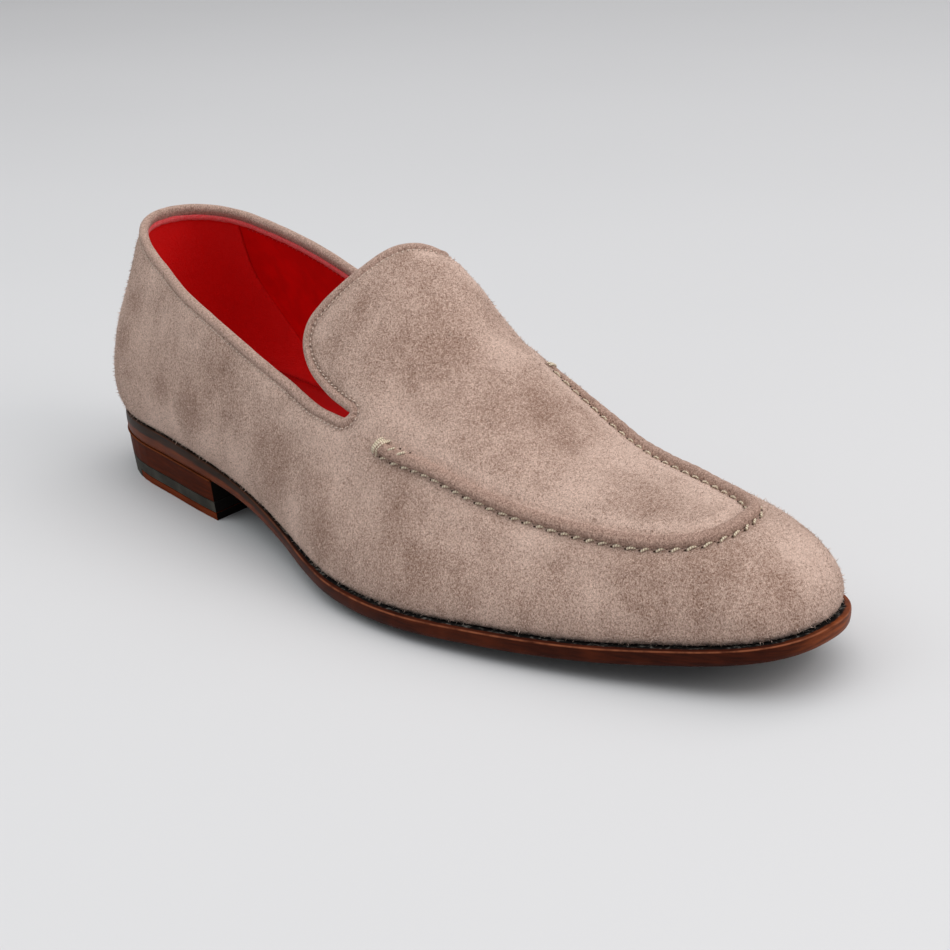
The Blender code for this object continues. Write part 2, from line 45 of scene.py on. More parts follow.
TO_FRAME = Vector((-0.14937, 0.00275, 0.0))

# The last, as in the part: its ends, sections, sole, topline, tongue and apron line
HEEL_BACK, HEEL_SIDE, TOE_SIDE, TOE_TIP = 0.001, 0.042, 0.2, 0.298
HEEL_ROUND, TOE_ROUND, HEEL_LEAN = 2.2, 2.5, 0.643
GAP, RIDGE_HALF, BREAST = 0.0003, 0.0020, 0.081
SWELL_RISE, SWELL_FALL, SWELL_AT = 0.8, 3.2, 0.2
SWELL_PEAK = SWELL_AT ** SWELL_RISE * (1 - SWELL_AT) ** SWELL_FALL
SECTIONS = (("x", "lateral", "medial", "feather", "crown", "lean", "flat", "steep", "bulge"), (
    (0.000, 0.0313, 0.0315, 0.0233, 0.1120, 0.0020, 1.97, 1.63, 0.0044),
    (0.040, 0.0318, 0.0312, 0.0233, 0.1110, 0.0014, 2.03, 1.88, 0.0042),
    (0.070, 0.0348, 0.0295, 0.0223, 0.1140, 0.0014, 2.02, 2.06, 0.0045),
    (0.100, 0.0369, 0.0272, 0.0185, 0.1092, 0.0038, 1.93, 2.44, 0.0046),
    (0.130, 0.0423, 0.0292, 0.0128, 0.1030, 0.0082, 1.84, 1.86, 0.0039),
    (0.146, 0.0465, 0.0327, 0.0102, 0.0996, 0.0109, 1.82, 1.67, 0.0034),
    (0.160, 0.0495, 0.0362, 0.0088, 0.0911, 0.0117, 1.80, 1.59, 0.0031),
    (0.175, 0.0502, 0.0398, 0.0081, 0.0766, 0.0099, 1.82, 1.63, 0.0029),
    (0.190, 0.0492, 0.0428, 0.0081, 0.0674, 0.0078, 1.93, 1.74, 0.0027),
    (0.220, 0.0427, 0.0445, 0.0094, 0.0505, 0.0038, 2.16, 1.84, 0.0023),
    (0.250, 0.0344, 0.0441, 0.0109, 0.0480, 0.0018, 2.51, 1.96, 0.0020),
    (0.275, 0.0286, 0.0441, 0.0137, 0.0499, 0.0003, 2.85, 2.15, 0.0017),
    (0.300, 0.0294, 0.0461, 0.0179, 0.0526, 0.0000, 3.09, 2.22, 0.0014),
))
SOLE = (("x", "edge", "thick", "cup"), (
    (0.000, 0.0010, 0.0075, 0.0000),
    (0.060, 0.0010, 0.0072, 0.0000),
    (0.090, 0.0010, 0.0058, 0.0004),
    (0.120, 0.0012, 0.0050, 0.0016),
    (0.150, 0.0020, 0.0048, 0.0032),
    (0.185, 0.0030, 0.0048, 0.0038),
    (0.240, 0.0032, 0.0048, 0.0034),
    (0.300, 0.0032, 0.0048, 0.0022),
))
EDGE = (("x", "lateral", "medial"), (
    (0.000, 0.0890, 0.0890),
    (0.010, 0.0870, 0.0887),
    (0.020, 0.0850, 0.0881),
    (0.040, 0.0804, 0.0862),
    (0.060, 0.0749, 0.0832),
    (0.080, 0.0701, 0.0783),
    (0.100, 0.0645, 0.0713),
    (0.123, 0.0577, 0.0626),
    (0.140, 0.0531, 0.0574),
    (0.154, 0.0516, 0.0556),
))
SLIT_X, SLIT_ETA, SLIT_LENGTH, SLIT_ETA_HALF, SLIT_SKEW = 0.154, 0.777, 0.0042, 0.031, 0.022
SLIT_FRONT = SLIT_X + SLIT_LENGTH
SLIT_MEDIAL, SLIT_POINTS, TONGUE_CORNER = 0.96, 4, 8
TONGUE = (("lateral_x", "lateral_eta", "medial_x", "medial_eta"), (
    (0.1450, 0.762, 0.1460, 0.732),
    (0.1360, 0.757, 0.1390, 0.725),
    (0.1307, 0.727, 0.1350, 0.698),
    (0.1297, 0.671, 0.1343, 0.653),
    (0.1321, 0.596, 0.1366, 0.581),
    (0.1365, 0.485, 0.1412, 0.470),
    (0.1406, 0.375, 0.1462, 0.355),
    (0.1439, 0.251, 0.1500, 0.254),
    (0.1463, 0.150, 0.1522, 0.134),
    (0.1503, 0.000, 0.1503, 0.000),
))
RIDGE = (("place", "rho"), (
    (1.735, 0.782), (1.81, 0.759), (1.90, 0.735), (1.98, 0.721), (2.06, 0.701), (2.17, 0.690),
    (2.29, 0.712), (2.40, 0.744), (2.52, 0.772), (2.66, 0.782), (2.82, 0.766), (3.00, 0.744),
    (3.14, 0.716), (3.26, 0.630), (3.36, 0.548), (3.47, 0.488), (3.61, 0.452), (3.80, 0.432),
    (3.96, 0.385), (4.06, 0.345), (4.13, 0.400), (4.19, 0.560), (4.265, 0.757),
))
RIDGE_ENDS = (1.800, 4.085)

# Layers of the dressed shoe and the air between them, then the steps from stitch to stitch
SUEDE, LINING, COUNTER = 0.0011, 0.0007, 0.0003
LINING_AIR, COUNTER_AIR = 0.00015, 0.00025
STITCH, BINDING_STITCH, LINING_STITCH = 0.0040, 0.0018, 0.0022

# Columns of the upper at the coarsest fineness, and the places round the outline where their stretches meet
SIDE_STEPS, FRONT_STEPS, TONGUE_STEPS = 15, 16, 10
SLIT_STEPS, QUARTER_STEPS, HEEL_STEPS = 3, 12, 20
FRONT_LATERAL, FRONT_MEDIAL, HEEL_MEDIAL = 2.50, 3.30, 5.0
SLIT_BLEND = 0.04
TONGUE_FINE, RELAX_STEPS, RETURN_STEPS = 24, 1200, 12
COLUMN_SAMPLES, RIDGE_SAMPLES = 120, 1500

# Fineness and rows of the suede, of the lining, and of the skin that gives the sewn lines; step along those
SUEDE_SKIN, LINING_SKIN, LINE_SKIN, LINE_STEP = (5, 62), (2, 26), (4, 8), 0.0005

# Small steps for slopes: along the outline or in from it, along the foot, and across it
STEP_PLACE, STEP_X, STEP_ETA = 0.002, 0.0003, 0.004
WELD = 0.00001


def curve(table, name, at):
    """Smooth curve through one column of a table, over its first column."""
    columns, rows = table
    rows = np.array(rows)
    xs, ys = rows[:, 0], rows[:, columns.index(name)]
    slopes = np.gradient(ys, xs)
    at = np.asarray(at, float)
    i = np.clip(np.searchsorted(xs, at) - 1, 0, len(xs) - 2)
    h = xs[i + 1] - xs[i]
    t = np.clip((at - xs[i]) / h, -0.1, 1.1)
    a = (1 + 2 * t) * (1 - t) ** 2 * ys[i] + t * (1 - t) ** 2 * h * slopes[i]
    b = t * t * (3 - 2 * t) * ys[i + 1] + t * t * (t - 1) * h * slopes[i + 1]
    return a + b


def smooth(t):
    t = np.clip(t, 0.0, 1.0)
    return t * t * (3 - 2 * t)


def unit(v):
    return v / (np.linalg.norm(v, axis=-1, keepdims=True) + 1e-12)


def section(name, x):
    return curve(SECTIONS, name, x)


def sole(name, x):
    return curve(SOLE, name, x)


def plan(x):
    lateral, medial = section("lateral", x), section("medial", x)
    return (medial - lateral) / 2, (medial + lateral) / 2


def arch(x, rho):
    """Height of a section, 0 to 1, at a fraction in from the outline (1 is on it)."""
    inside = np.clip(1 - np.clip(rho, 0, 1) ** section("flat", x), 0, None)
    return inside ** (1 / section("steep", x))


def arch_rho(x, height):
    return (1 - np.clip(height, 0, 1) ** section("steep", x)) ** (1 / section("flat", x))


def place_point(x_plan, x_shape, eta, rho, dx, dy):
    """Point of the last from its plan place, its section and the outward direction in plan."""
    middle, half = plan(x_shape)
    height = arch(x_shape, rho)
    low = section("feather", x_shape)
    push = section("bulge", x_shape) * height ** SWELL_RISE * (1 - height) ** SWELL_FALL / SWELL_PEAK
    length = np.hypot(dx, dy) + 1e-9
    y = middle + eta * half + section("lean", x_shape) * height
    z = low + (section("crown", x_shape) - low) * height
    return np.stack([x_plan + push * dx / length, y + push * dy / length, z], axis=-1)


def last(x, eta):
    """Outside of the upper at a station and a fraction across, ahead of the heel."""
    x, eta = np.broadcast_arrays(np.asarray(x, float), np.asarray(eta, float))
    xi = np.clip((x - TOE_SIDE) / (TOE_TIP - TOE_SIDE), 0, None)
    rho = (np.abs(eta) ** TOE_ROUND + xi ** TOE_ROUND) ** (1 / TOE_ROUND)
    dx = xi ** (TOE_ROUND - 1) / (TOE_TIP - TOE_SIDE)
    dy = np.sign(eta) * np.abs(eta) ** (TOE_ROUND - 1) / plan(x)[1]
    return place_point(x, x, eta, rho, dx, dy)


def column(place):
    """Hand, distance along one side in stretches, and the two fractions of its rounded ends.

    Places run round the outline: 0 and 6 at the back of the heel, 3 at the toe, lateral side first.
    """
    place = np.mod(np.asarray(place, float), 6.0)
    hand = np.where(place < 3, -1.0, 1.0)
    along = np.where(place < 3, place, 6 - place)
    heel = np.clip(along, 0, 1) * np.pi / 2
    toe = np.clip(along - 2, 0, 1) * np.pi / 2
    ends_heel = np.cos(heel) ** (2 / HEEL_ROUND), np.sin(heel) ** (2 / HEEL_ROUND)
    ends_toe = np.sin(toe) ** (2 / TOE_ROUND), np.clip(np.cos(toe), 0, 1) ** (2 / TOE_ROUND)
    return hand, along, ends_heel, ends_toe


def outline_x(place):
    """Station of a place on the outline."""
    along, heel, toe = column(place)[1:]
    side = HEEL_SIDE + (along - 1) * (TOE_SIDE - HEEL_SIDE)
    back = HEEL_SIDE - heel[0] * (HEEL_SIDE - HEEL_BACK)
    ahead = TOE_SIDE + toe[0] * (TOE_TIP - TOE_SIDE)
    return np.where(along < 1, back, np.where(along <= 2, side, ahead))


def side_place(x, hand):
    along = 1 + (x - HEEL_SIDE) / (TOE_SIDE - HEEL_SIDE)
    return along if hand < 0 else 6 - along


def inner_place(place, rho):
    """Station and fraction across of a point in from the outline, on the side or the toe."""
    hand, along, _, toe = column(place)
    side = HEEL_SIDE + (along - 1) * (TOE_SIDE - HEEL_SIDE)
    x = np.where(along <= 2, side, TOE_SIDE + rho * toe[0] * (TOE_TIP - TOE_SIDE))
    return x, hand * rho * np.where(along <= 2, 1.0, toe[1])


def wall(place, rho):
    """Outside of the upper at a place on the outline and a fraction in from it."""
    place, rho = np.broadcast_arrays(np.asarray(place, float), np.asarray(rho, float))
    hand, along, heel = column(place)[:3]
    ahead = last(*inner_place(place, rho))
    shape = outline_x(place)
    depth = HEEL_SIDE - HEEL_BACK
    x = HEEL_SIDE - heel[0] * (1 - HEEL_LEAN * (1 - rho)) * depth
    dx = -(heel[0] ** (HEEL_ROUND - 1)) / depth
    dy = hand * heel[1] ** (HEEL_ROUND - 1) / plan(shape)[1]
    back = place_point(x, shape, hand * rho * heel[1], rho, dx, dy)
    return np.where((along < 1)[..., None], back, ahead)


def wall_normal(place, rho):
    along = wall(place + STEP_PLACE, rho) - wall(place - STEP_PLACE, rho)
    inward = wall(place, rho - STEP_PLACE) - wall(place, rho + STEP_PLACE)
    return unit(np.cross(along, inward))


def last_normal(x, eta):
    along = last(x + STEP_X, eta) - last(x - STEP_X, eta)
    across = last(x, eta + STEP_ETA) - last(x, eta - STEP_ETA)
    return unit(np.cross(along, across))


def ridge_rho(place):
    return curve(RIDGE, "rho", place)


def rho_step(place, rho, distance):
    """Change of rho that covers a distance on the surface."""
    step = wall(place, rho + STEP_PLACE) - wall(place, rho - STEP_PLACE)
    return distance * 2 * STEP_PLACE / np.linalg.norm(step, axis=-1)


def edge_rho(place):
    """Fraction in from the outline at the lower line of the binding on the quarters."""
    x = outline_x(place)
    z = np.where(column(place)[0] > 0, curve(EDGE, "medial", x), curve(EDGE, "lateral", x))
    low = section("feather", x)
    return arch_rho(x, (z - low) / (section("crown", x) - low))


def slit_end(angle, upper):
    """Station and fraction across on the rounded end of the slit, from its front round."""
    eta = SLIT_ETA - SLIT_ETA_HALF * np.sin(angle) * (1 if upper else -1)
    return SLIT_X + SLIT_LENGTH * np.cos(angle), eta - SLIT_SKEW * np.cos(angle)


def tongue_half(hand, fine):
    """Half of the tongue's edge as stations and fractions, from the slit's front to the top's middle."""
    angles = np.pi / 2 * np.arange(SLIT_POINTS + 1) / SLIT_POINTS
    across = 1.0 if hand < 0 else SLIT_MEDIAL
    points = [(x, eta * across) for x, eta in (slit_end(a, True) for a in angles)] + tongue_rows(hand)
    rows = tuple((k, x, eta) for k, (x, eta) in enumerate(points))
    table = (("k", "x", "eta"), rows)
    k = np.arange((len(rows) - 1) * fine + 1) / fine
    return np.stack([curve(table, "x", k), hand * curve(table, "eta", k)], axis=-1)


def tongue_rows(hand):
    columns, rows = TONGUE
    side = "lateral" if hand < 0 else "medial"
    x, eta = columns.index(side + "_x"), columns.index(side + "_eta")
    return [(row[x], row[eta]) for row in rows]


def tongue_back(eta):
    """Station of the tongue's back edge at a fraction across."""
    rows = [(-e, x) for x, e in tongue_rows(-1)[3:]] + [(e, x) for x, e in tongue_rows(1)[-2:2:-1]]
    return curve((("eta", "x"), tuple(rows)), "x", np.clip(eta, rows[0][0], rows[-1][0]))


def resample(points, count):
    """Points spread evenly over the surface along a line of stations and fractions."""
    solid = last(points[:, 0], points[:, 1])
    run = np.concatenate([[0], np.cumsum(np.linalg.norm(np.diff(solid, axis=0), axis=1))])
    at = np.linspace(0, run[-1], count + 1)
    return np.stack([np.interp(at, run, points[:, k]) for k in range(2)], axis=-1)


def new_grid(bm, points):
    """Grid of quads laid over an array of points, rows by columns."""
    rows, columns = points.shape[0] - 1, points.shape[1] - 1
    made = bmesh.ops.create_grid(bm, x_segments=columns, y_segments=rows, size=0.5)["verts"]
    for v, p in zip(made, points.reshape(-1, 3)):
        v.co = p
    return made


def weld(bm):
    """Doubles merged, slivers dissolved, faces turned outwards."""
    bmesh.ops.remove_doubles(bm, verts=bm.verts[:], dist=WELD)
    bmesh.ops.dissolve_degenerate(bm, edges=bm.edges[:], dist=WELD)
    bmesh.ops.recalc_face_normals(bm, faces=bm.faces[:])


def turned(bm, end, axis, sign):
    """Open sheet turned so that the normal at one end vertex points along an axis with a sign."""
    bm.normal_update()
    if end(bm.verts, key=lambda v: v.co[axis]).normal[axis] * sign < 0:
        bmesh.ops.reverse_faces(bm, faces=bm.faces[:])
        bm.normal_update()


class Skin:
    """Columns and rows of the upper, at a fineness: 1 is the coarsest."""

    def __init__(self, fine, rows):
        side, front, tongue = SIDE_STEPS * fine, FRONT_STEPS * fine, TONGUE_STEPS * fine
        slit, quarter, heel = SLIT_STEPS * fine, QUARTER_STEPS * fine, HEEL_STEPS * fine
        near, far = side_place(SLIT_FRONT, -1), side_place(SLIT_FRONT, 1)
        places = np.concatenate([
            np.linspace(near, FRONT_LATERAL, side, endpoint=False),
            np.linspace(FRONT_LATERAL, FRONT_MEDIAL, front, endpoint=False),
            np.linspace(FRONT_MEDIAL, far, side + 1),
        ])
        rho = ridge_rho(places)
        edges = rho - rho_step(places, rho, RIDGE_HALF)
        slit_eta = slit_end(0.0, True)[1]
        for target, ends in ((slit_eta, places - near), (slit_eta * SLIT_MEDIAL, far - places)):
            edges = edges + (target - edges) * (1 - smooth(ends / SLIT_BLEND))
        self.front = np.stack(inner_place(places, edges), axis=-1)
        angles = np.pi / 2 * np.arange(1, slit + 1) / slit
        x, eta = slit_end(angles, False)
        start = side_place(SLIT_X, 1)
        between = np.concatenate([
            np.linspace(start, HEEL_MEDIAL, quarter, endpoint=False)[1:],
            np.linspace(HEEL_MEDIAL, 12 - HEEL_MEDIAL, heel, endpoint=False),
            np.linspace(12 - HEEL_MEDIAL, 12 - start, quarter, endpoint=False),
        ])
        medial = side_place(x, 1)
        topline = np.concatenate([medial, between, 12 - medial[::-1]])
        topline_edge = np.concatenate([eta * SLIT_MEDIAL, edge_rho(between), eta[::-1]])
        self.places = np.concatenate([places, topline, [places[0] + 6]])
        self.rows = even_rows(self.places, np.concatenate([edges, topline_edge, edges[:1]]), rows)
        self.topline = topline, topline_edge
        self.tongue = self.tongue_grid(side, front, tongue)

    def tongue_grid(self, side, front, tongue):
        """Stations and fractions of the apron and tongue, a grid between its four edges."""
        outer, inner = tongue_half(-1, TONGUE_FINE), tongue_half(1, TONGUE_FINE)
        corner = TONGUE_CORNER * TONGUE_FINE
        self.outer, self.inner = outer, inner
        near, far = self.front[1:side + 1], self.front[side + front:-1][::-1]
        lateral = np.concatenate([resample(outer[:corner + 1], tongue)[::-1], near])
        medial = np.concatenate([resample(inner[:corner + 1], tongue)[::-1], far])
        back = resample(np.concatenate([outer[corner:], inner[corner:-1][::-1]]), front)
        ahead = self.front[side:side + front + 1]
        low, high = (line[line[:, 0] > SLIT_FRONT].T for line in (lateral, medial))

        def straight(points):
            """Points with the two long edges and the back edge made straight."""
            x, eta = points[:, 0], points[:, 1]
            start = np.interp(x, *low)
            return np.stack([x - tongue_back(eta), (eta - start) / (np.interp(x, *high) - start)], axis=-1)

        l, m, b, a = (straight(points) for points in (lateral, medial, back, ahead))
        v = np.linspace(0, 1, len(lateral))[:, None, None]
        u = np.linspace(0, 1, len(back))[None, :, None]
        sides = l[:, None] * (1 - u) + m[:, None] * u + b[None] * (1 - v) + a[None] * v
        corners = (b[0] * (1 - u) + b[-1] * u) * (1 - v) + (a[0] * (1 - u) + a[-1] * u) * v
        flat = sides - corners
        for _ in range(RELAX_STEPS):
            around = flat[:-2, 1:-1] + flat[2:, 1:-1] + flat[1:-1, :-2] + flat[1:-1, 2:]
            flat[1:-1, 1:-1] = around / 4
        x = flat[..., 0] + tongue_back(flat[..., 1] - 0.5)
        for _ in range(RETURN_STEPS):
            start = np.interp(x, *low)
            eta = start + flat[..., 1] * (np.interp(x, *high) - start)
            x = flat[..., 0] + tongue_back(eta)
        grid = np.stack([x, eta], axis=-1)
        grid[:, 0], grid[:, -1], grid[0], grid[-1] = lateral, medial, back, ahead
        return grid

    def mesh(self):
        """Open sheet of the upper's outside, faces outwards."""
        bm = bmesh.new()
        new_grid(bm, wall(self.places[None], self.rows.T))
        new_grid(bm, last(self.tongue[..., 0], self.tongue[..., 1]))
        weld(bm)
        turned(bm, max, 2, 1)
        return bm


def even_rows(places, edges, count):
    """Fractions in from the outline at even steps up each column, outline to edge."""
    s = np.linspace(0, 1, COLUMN_SAMPLES)[None]
    x = outline_x(places)[:, None]
    by_height = arch_rho(x, arch(x, edges[:, None]) * s)
    rho = np.sort(np.concatenate([by_height, 1 + (edges[:, None] - 1) * s], axis=1), axis=1)[:, ::-1]
    steps = np.linalg.norm(np.diff(wall(places[:, None], rho), axis=1), axis=-1)
    run = np.concatenate([np.zeros((len(places), 1)), np.cumsum(steps, axis=1)], axis=1)
    out = []
    for r, line in zip(run, rho):
        out.append(np.interp(np.linspace(0, r[-1], count + 1), r, line))
    return np.array(out)


class Line:
    """Line on the upper: points, outward normals, run, and the direction across it, to the left."""

    def __init__(self, points, normals, closed, step):
        if closed:
            points = np.concatenate([points, points[:1]])
            normals = np.concatenate([normals, normals[:1]])
        run = np.concatenate([[0], np.cumsum(np.linalg.norm(np.diff(points, axis=0), axis=1))])
        self.length = run[-1]
        count = int(round(self.length / step))
        self.run = np.linspace(0, self.length, count + 1)
        self.points = np.stack([np.interp(self.run, run, points[:, k]) for k in range(3)], axis=-1)
        normals = np.stack([np.interp(self.run, run, normals[:, k]) for k in range(3)], axis=-1)
        if closed:
            loop = np.concatenate([self.points[-2:-1], self.points, self.points[1:2]])
            tangents = unit(loop[2:] - loop[:-2])
        else:
            tangents = unit(np.gradient(self.points, axis=0))
        self.across = unit(np.cross(normals, tangents))
        self.normals = unit(np.cross(tangents, self.across))
        self.tangents = tangents

    def at(self, run):
        """Point, tangent, across and normal at a run along the line."""
        out = []
        for a in (self.points, self.tangents, self.across, self.normals):
            out.append(np.stack([np.interp(run, self.run, a[:, k]) for k in range(3)], axis=-1))
        return out


def profile(count):
    """Angles round a tube's profile, one row each."""
    return np.linspace(0, 2 * np.pi, count, endpoint=False)[:, None]


def tube(line, b, d):
    """Closed tube along a line: offsets b across it and d above it, one row per profile point."""
    bm = bmesh.new()
    p = line.points[None] + line.across[None] * b[..., None] + line.normals[None] * d[..., None]
    new_grid(bm, np.concatenate([p, p[:1]]))
    weld(bm)
    bmesh.ops.holes_fill(bm, edges=[edge for edge in bm.edges if edge.is_boundary])
    bmesh.ops.recalc_face_normals(bm, faces=bm.faces[:])
    return bm


def uneven(run, waves):
    """Share of the full size along a run, from waves of a height, a rate and a start."""
    return 1 + sum(height * np.sin(run * rate + start) for height, rate, start in waves)


def opening_line(skin, step):
    """Free edge all round the tongue and the quarters, the opening to the left of the way along it."""
    outer, inner = skin.outer, skin.inner
    tongue = np.concatenate([outer, inner[:-1][::-1]])
    points = np.concatenate([last(tongue[:, 0], tongue[:, 1]), wall(*skin.topline)])
    normals = np.concatenate([last_normal(tongue[:, 0], tongue[:, 1]), wall_normal(*skin.topline)])
    return Line(points, normals, True, step)


def ridge_line(step):
    places = np.linspace(*RIDGE_ENDS, RIDGE_SAMPLES)
    rho = ridge_rho(places)
    return Line(wall(places, rho), wall_normal(places, rho), False, step)


def nearest(points, places):
    """For each place, the index of the nearest of the points and its distance."""
    tree = kdtree.KDTree(len(points))
    for i, p in enumerate(points):
        tree.insert(p, i)
    tree.balance()
    found = [tree.find(p) for p in places]
    return np.array([f[1] for f in found]), np.array([f[2] for f in found])


def inside(line, places):
    """Distance from a line to each place on the side that its across direction points to, else negative."""
    index, gap = nearest(line.points, places)
    return gap * np.sign(np.einsum("ij,ij->i", places - line.points[index], line.across[index]))


def segment_distance(places, a, b):
    """Distance of each place from a stretch between two points in millimetres."""
    a, b = np.array(a) * MM, np.array(b) * MM
    ab = b - a
    t = np.clip(((places - a) @ ab) / (ab @ ab), 0, 1)
    return np.linalg.norm(places - a - t[:, None] * ab, axis=1)


def set_value(bm, name, values):
    layer = bm.verts.layers.float.get(name) or bm.verts.layers.float.new(name)
    for v, value in zip(bm.verts, values):
        v[layer] = float(value)


def coords(bm):
    return np.array([v.co[:] for v in bm.verts])


def piece(name, bm, material, replaces=()):
    """Finished mesh as an object of the shoe."""
    bmesh.ops.translate(bm, verts=bm.verts[:], vec=TO_FRAME)
    data = bpy.data.meshes.new(name)
    bm.to_mesh(data)
    bm.free()
    data.materials.append(material)
    data.polygons.foreach_set("use_smooth", [True] * len(data.polygons))
    item = bpy.data.objects.new(name, data)
    bpy.context.scene.collection.objects.link(item)
    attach(item, "root")
    if replaces:
        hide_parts(*replaces)
    return item


# Patterns of the finishes: scale, detail, roughness, stretch and turn of the axes, distortion
GRAIN = {
    "fibre": (2900, 3, 0.70, (1.0, 1.0, 0.6), (0.4, 0.3, 0.2), 0.0),
    "tuft": (1500, 4, 0.68, (1.0, 0.7, 1.0), (0.2, 0.5, 0.9), 0.0),
    "cloud": (62, 4, 0.60, None, None, 0.8),
    "streak": (150, 4, 0.65, (1.0, 1.0, 0.30), (0.3, 0.5, 0.2), 0.0),
    "stain": (330, 4, 0.65, None, None, 0.0),
    "mottle": (90, 3, 0.55, None, None, 0.0),
    "sole_fibre": (420, 4, 0.60, (0.25, 0.25, 2.2), (0, 0, 0), 0.0),
    "sole_cloud": (45, 3, 0.60, None, None, 0.0),
    "arris_highlight_break": (180, 3, 0.60, None, None, 0.0),
    "sole_seam": (260, 4, 0.70, None, None, 0.0),
    "sole_base": (300, 4, 0.60, None, None, 0.0),
    "chalk": (520, 4, 0.65, None, None, 0.0),
    "heel_fibre": (380, 4, 0.60, (0.22, 0.22, 2.6), (0, 0, 0), 0.0),
    "heel_cloud": (55, 3, 0.60, None, None, 0.0),
    "rubber_speck": (1300, 3, 0.60, None, None, 0.0),
    "rubber_cloud": (90, 3, 0.60, None, None, 0.0),
    "floor": (3, 2, 0.50, None, None, 0.0),
}
LEATHER_CELLS, PLY_TURNS = 1500, 9000.0

# Colours of the finishes, dark then light where there are two
# The second colour is painted shade: near-black for the heel's breast in the shadow under the arch
SEAM_STAIN, BREAST_SHADE = (0.016, 0.013, 0.012), (0.010, 0.008, 0.007)
SEAM_INK = (0.008, 0.007, 0.007), (0.26, 0.245, 0.22)
SOLE_BROWN = (0.022, 0.0044, 0.0020), (0.060, 0.0105, 0.0036)
SOLE_DULL = (0.014, 0.0068, 0.0040), (0.042, 0.0200, 0.0115)
SOLE_TAN = (0.085, 0.0170, 0.0055), (0.170, 0.0390, 0.0115)
# The second colour is a painted highlight on the toe, the third a painted highlight on the sole's arris
SOLE_CLOUD, TOE_HIGHLIGHT, ARRIS_HIGHLIGHT = (0.115, 0.0215, 0.0060), (0.300, 0.0700, 0.0180), (0.24, 0.075, 0.034)
SOLE_BASE = (0.006, 0.006, 0.006), (0.018, 0.017, 0.017)
RUBBER_GREY = (0.038, 0.035, 0.029), (0.072, 0.067, 0.056)
FLOOR_GREY = (0.60, 0.60, 0.61), (0.63, 0.63, 0.64)


class Nodes:
    """Short way to write a material's nodes."""

    def __init__(self, name):
        self.material = bpy.data.materials.new(name)
        self.material.use_nodes = True
        self.tree = self.material.node_tree
        self.shader = self.tree.nodes["Principled BSDF"]
        self.object = self.node("ShaderNodeTexCoord").outputs["Object"]

    def node(self, kind, **settings):
        made = self.tree.nodes.new(kind)
        for key, value in settings.items():
            setattr(made, key, value)
        return made

    def put(self, value, socket):
        if isinstance(value, bpy.types.NodeSocket):
            self.tree.links.new(value, socket)
        else:
            socket.default_value = value

    def math(self, operation, a, b=0.0):
        made = self.node("ShaderNodeMath", operation=operation)
        self.put(a, made.inputs[0])
        self.put(b, made.inputs[1])
        return made.outputs[0]

    def add(self, a, b):
        return self.math("ADD", a, b)

    def times(self, a, b):
        return self.math("MULTIPLY", a, b)

    def less(self, value):
        """One less the value."""
        return self.math("SUBTRACT", 1.0, value)

    def weigh(self, start, *layers):
        """Start value and each layer's departure from its middle, by weight."""
        for layer, weight in layers:
            start = self.add(self.times(self.math("SUBTRACT", layer, 0.5), weight), start)
        return start

    def grain(self, name):
        """One of the patterns in the table."""
        scale, detail, rough, stretch, turn, distortion = GRAIN[name]
        made = self.node("ShaderNodeTexNoise")
        where = self.object
        if stretch:
            mapping = self.node("ShaderNodeMapping")
            mapping.inputs["Scale"].default_value = stretch
            mapping.inputs["Rotation"].default_value = turn
            self.put(where, mapping.inputs["Vector"])
            where = mapping.outputs[0]
        self.put(where, made.inputs["Vector"])
        made.inputs["Scale"].default_value = scale
        made.inputs["Detail"].default_value = detail
        made.inputs["Roughness"].default_value = rough
        made.inputs["Distortion"].default_value = distortion
        return made.outputs[0]

    def value(self, name):
        return self.node("ShaderNodeAttribute", attribute_name=name).outputs["Fac"]

    def mix(self, factor, a, b):
        made = self.node("ShaderNodeMix", data_type="RGBA")
        self.put(factor, made.inputs[0])
        self.put(a if isinstance(a, bpy.types.NodeSocket) else (*a, 1.0), made.inputs[6])
        self.put(b if isinstance(b, bpy.types.NodeSocket) else (*b, 1.0), made.inputs[7])
        return made.outputs[2]

    def band(self, value, low, high):
        """0 below low, 1 above high, smooth between."""
        made = self.node("ShaderNodeMapRange", interpolation_type="SMOOTHSTEP")
        self.put(value, made.inputs["Value"])
        made.inputs["From Min"].default_value = low
        made.inputs["From Max"].default_value = high
        return made.outputs[0]

    def bump(self, height, strength, distance):
        made = self.node("ShaderNodeBump")
        made.inputs["Strength"].default_value = strength
        made.inputs["Distance"].default_value = distance
        self.put(height, made.inputs["Height"])
        return made.outputs[0]

    def finish(self, colour, roughness, normal=None, **constants):
        self.put(colour, self.shader.inputs["Base Color"])
        self.put(roughness, self.shader.inputs["Roughness"])
        if normal is not None:
            self.put(normal, self.shader.inputs["Normal"])
        for key, value in constants.items():
            self.shader.inputs[key.replace("_", " ")].default_value = value
        return self.material


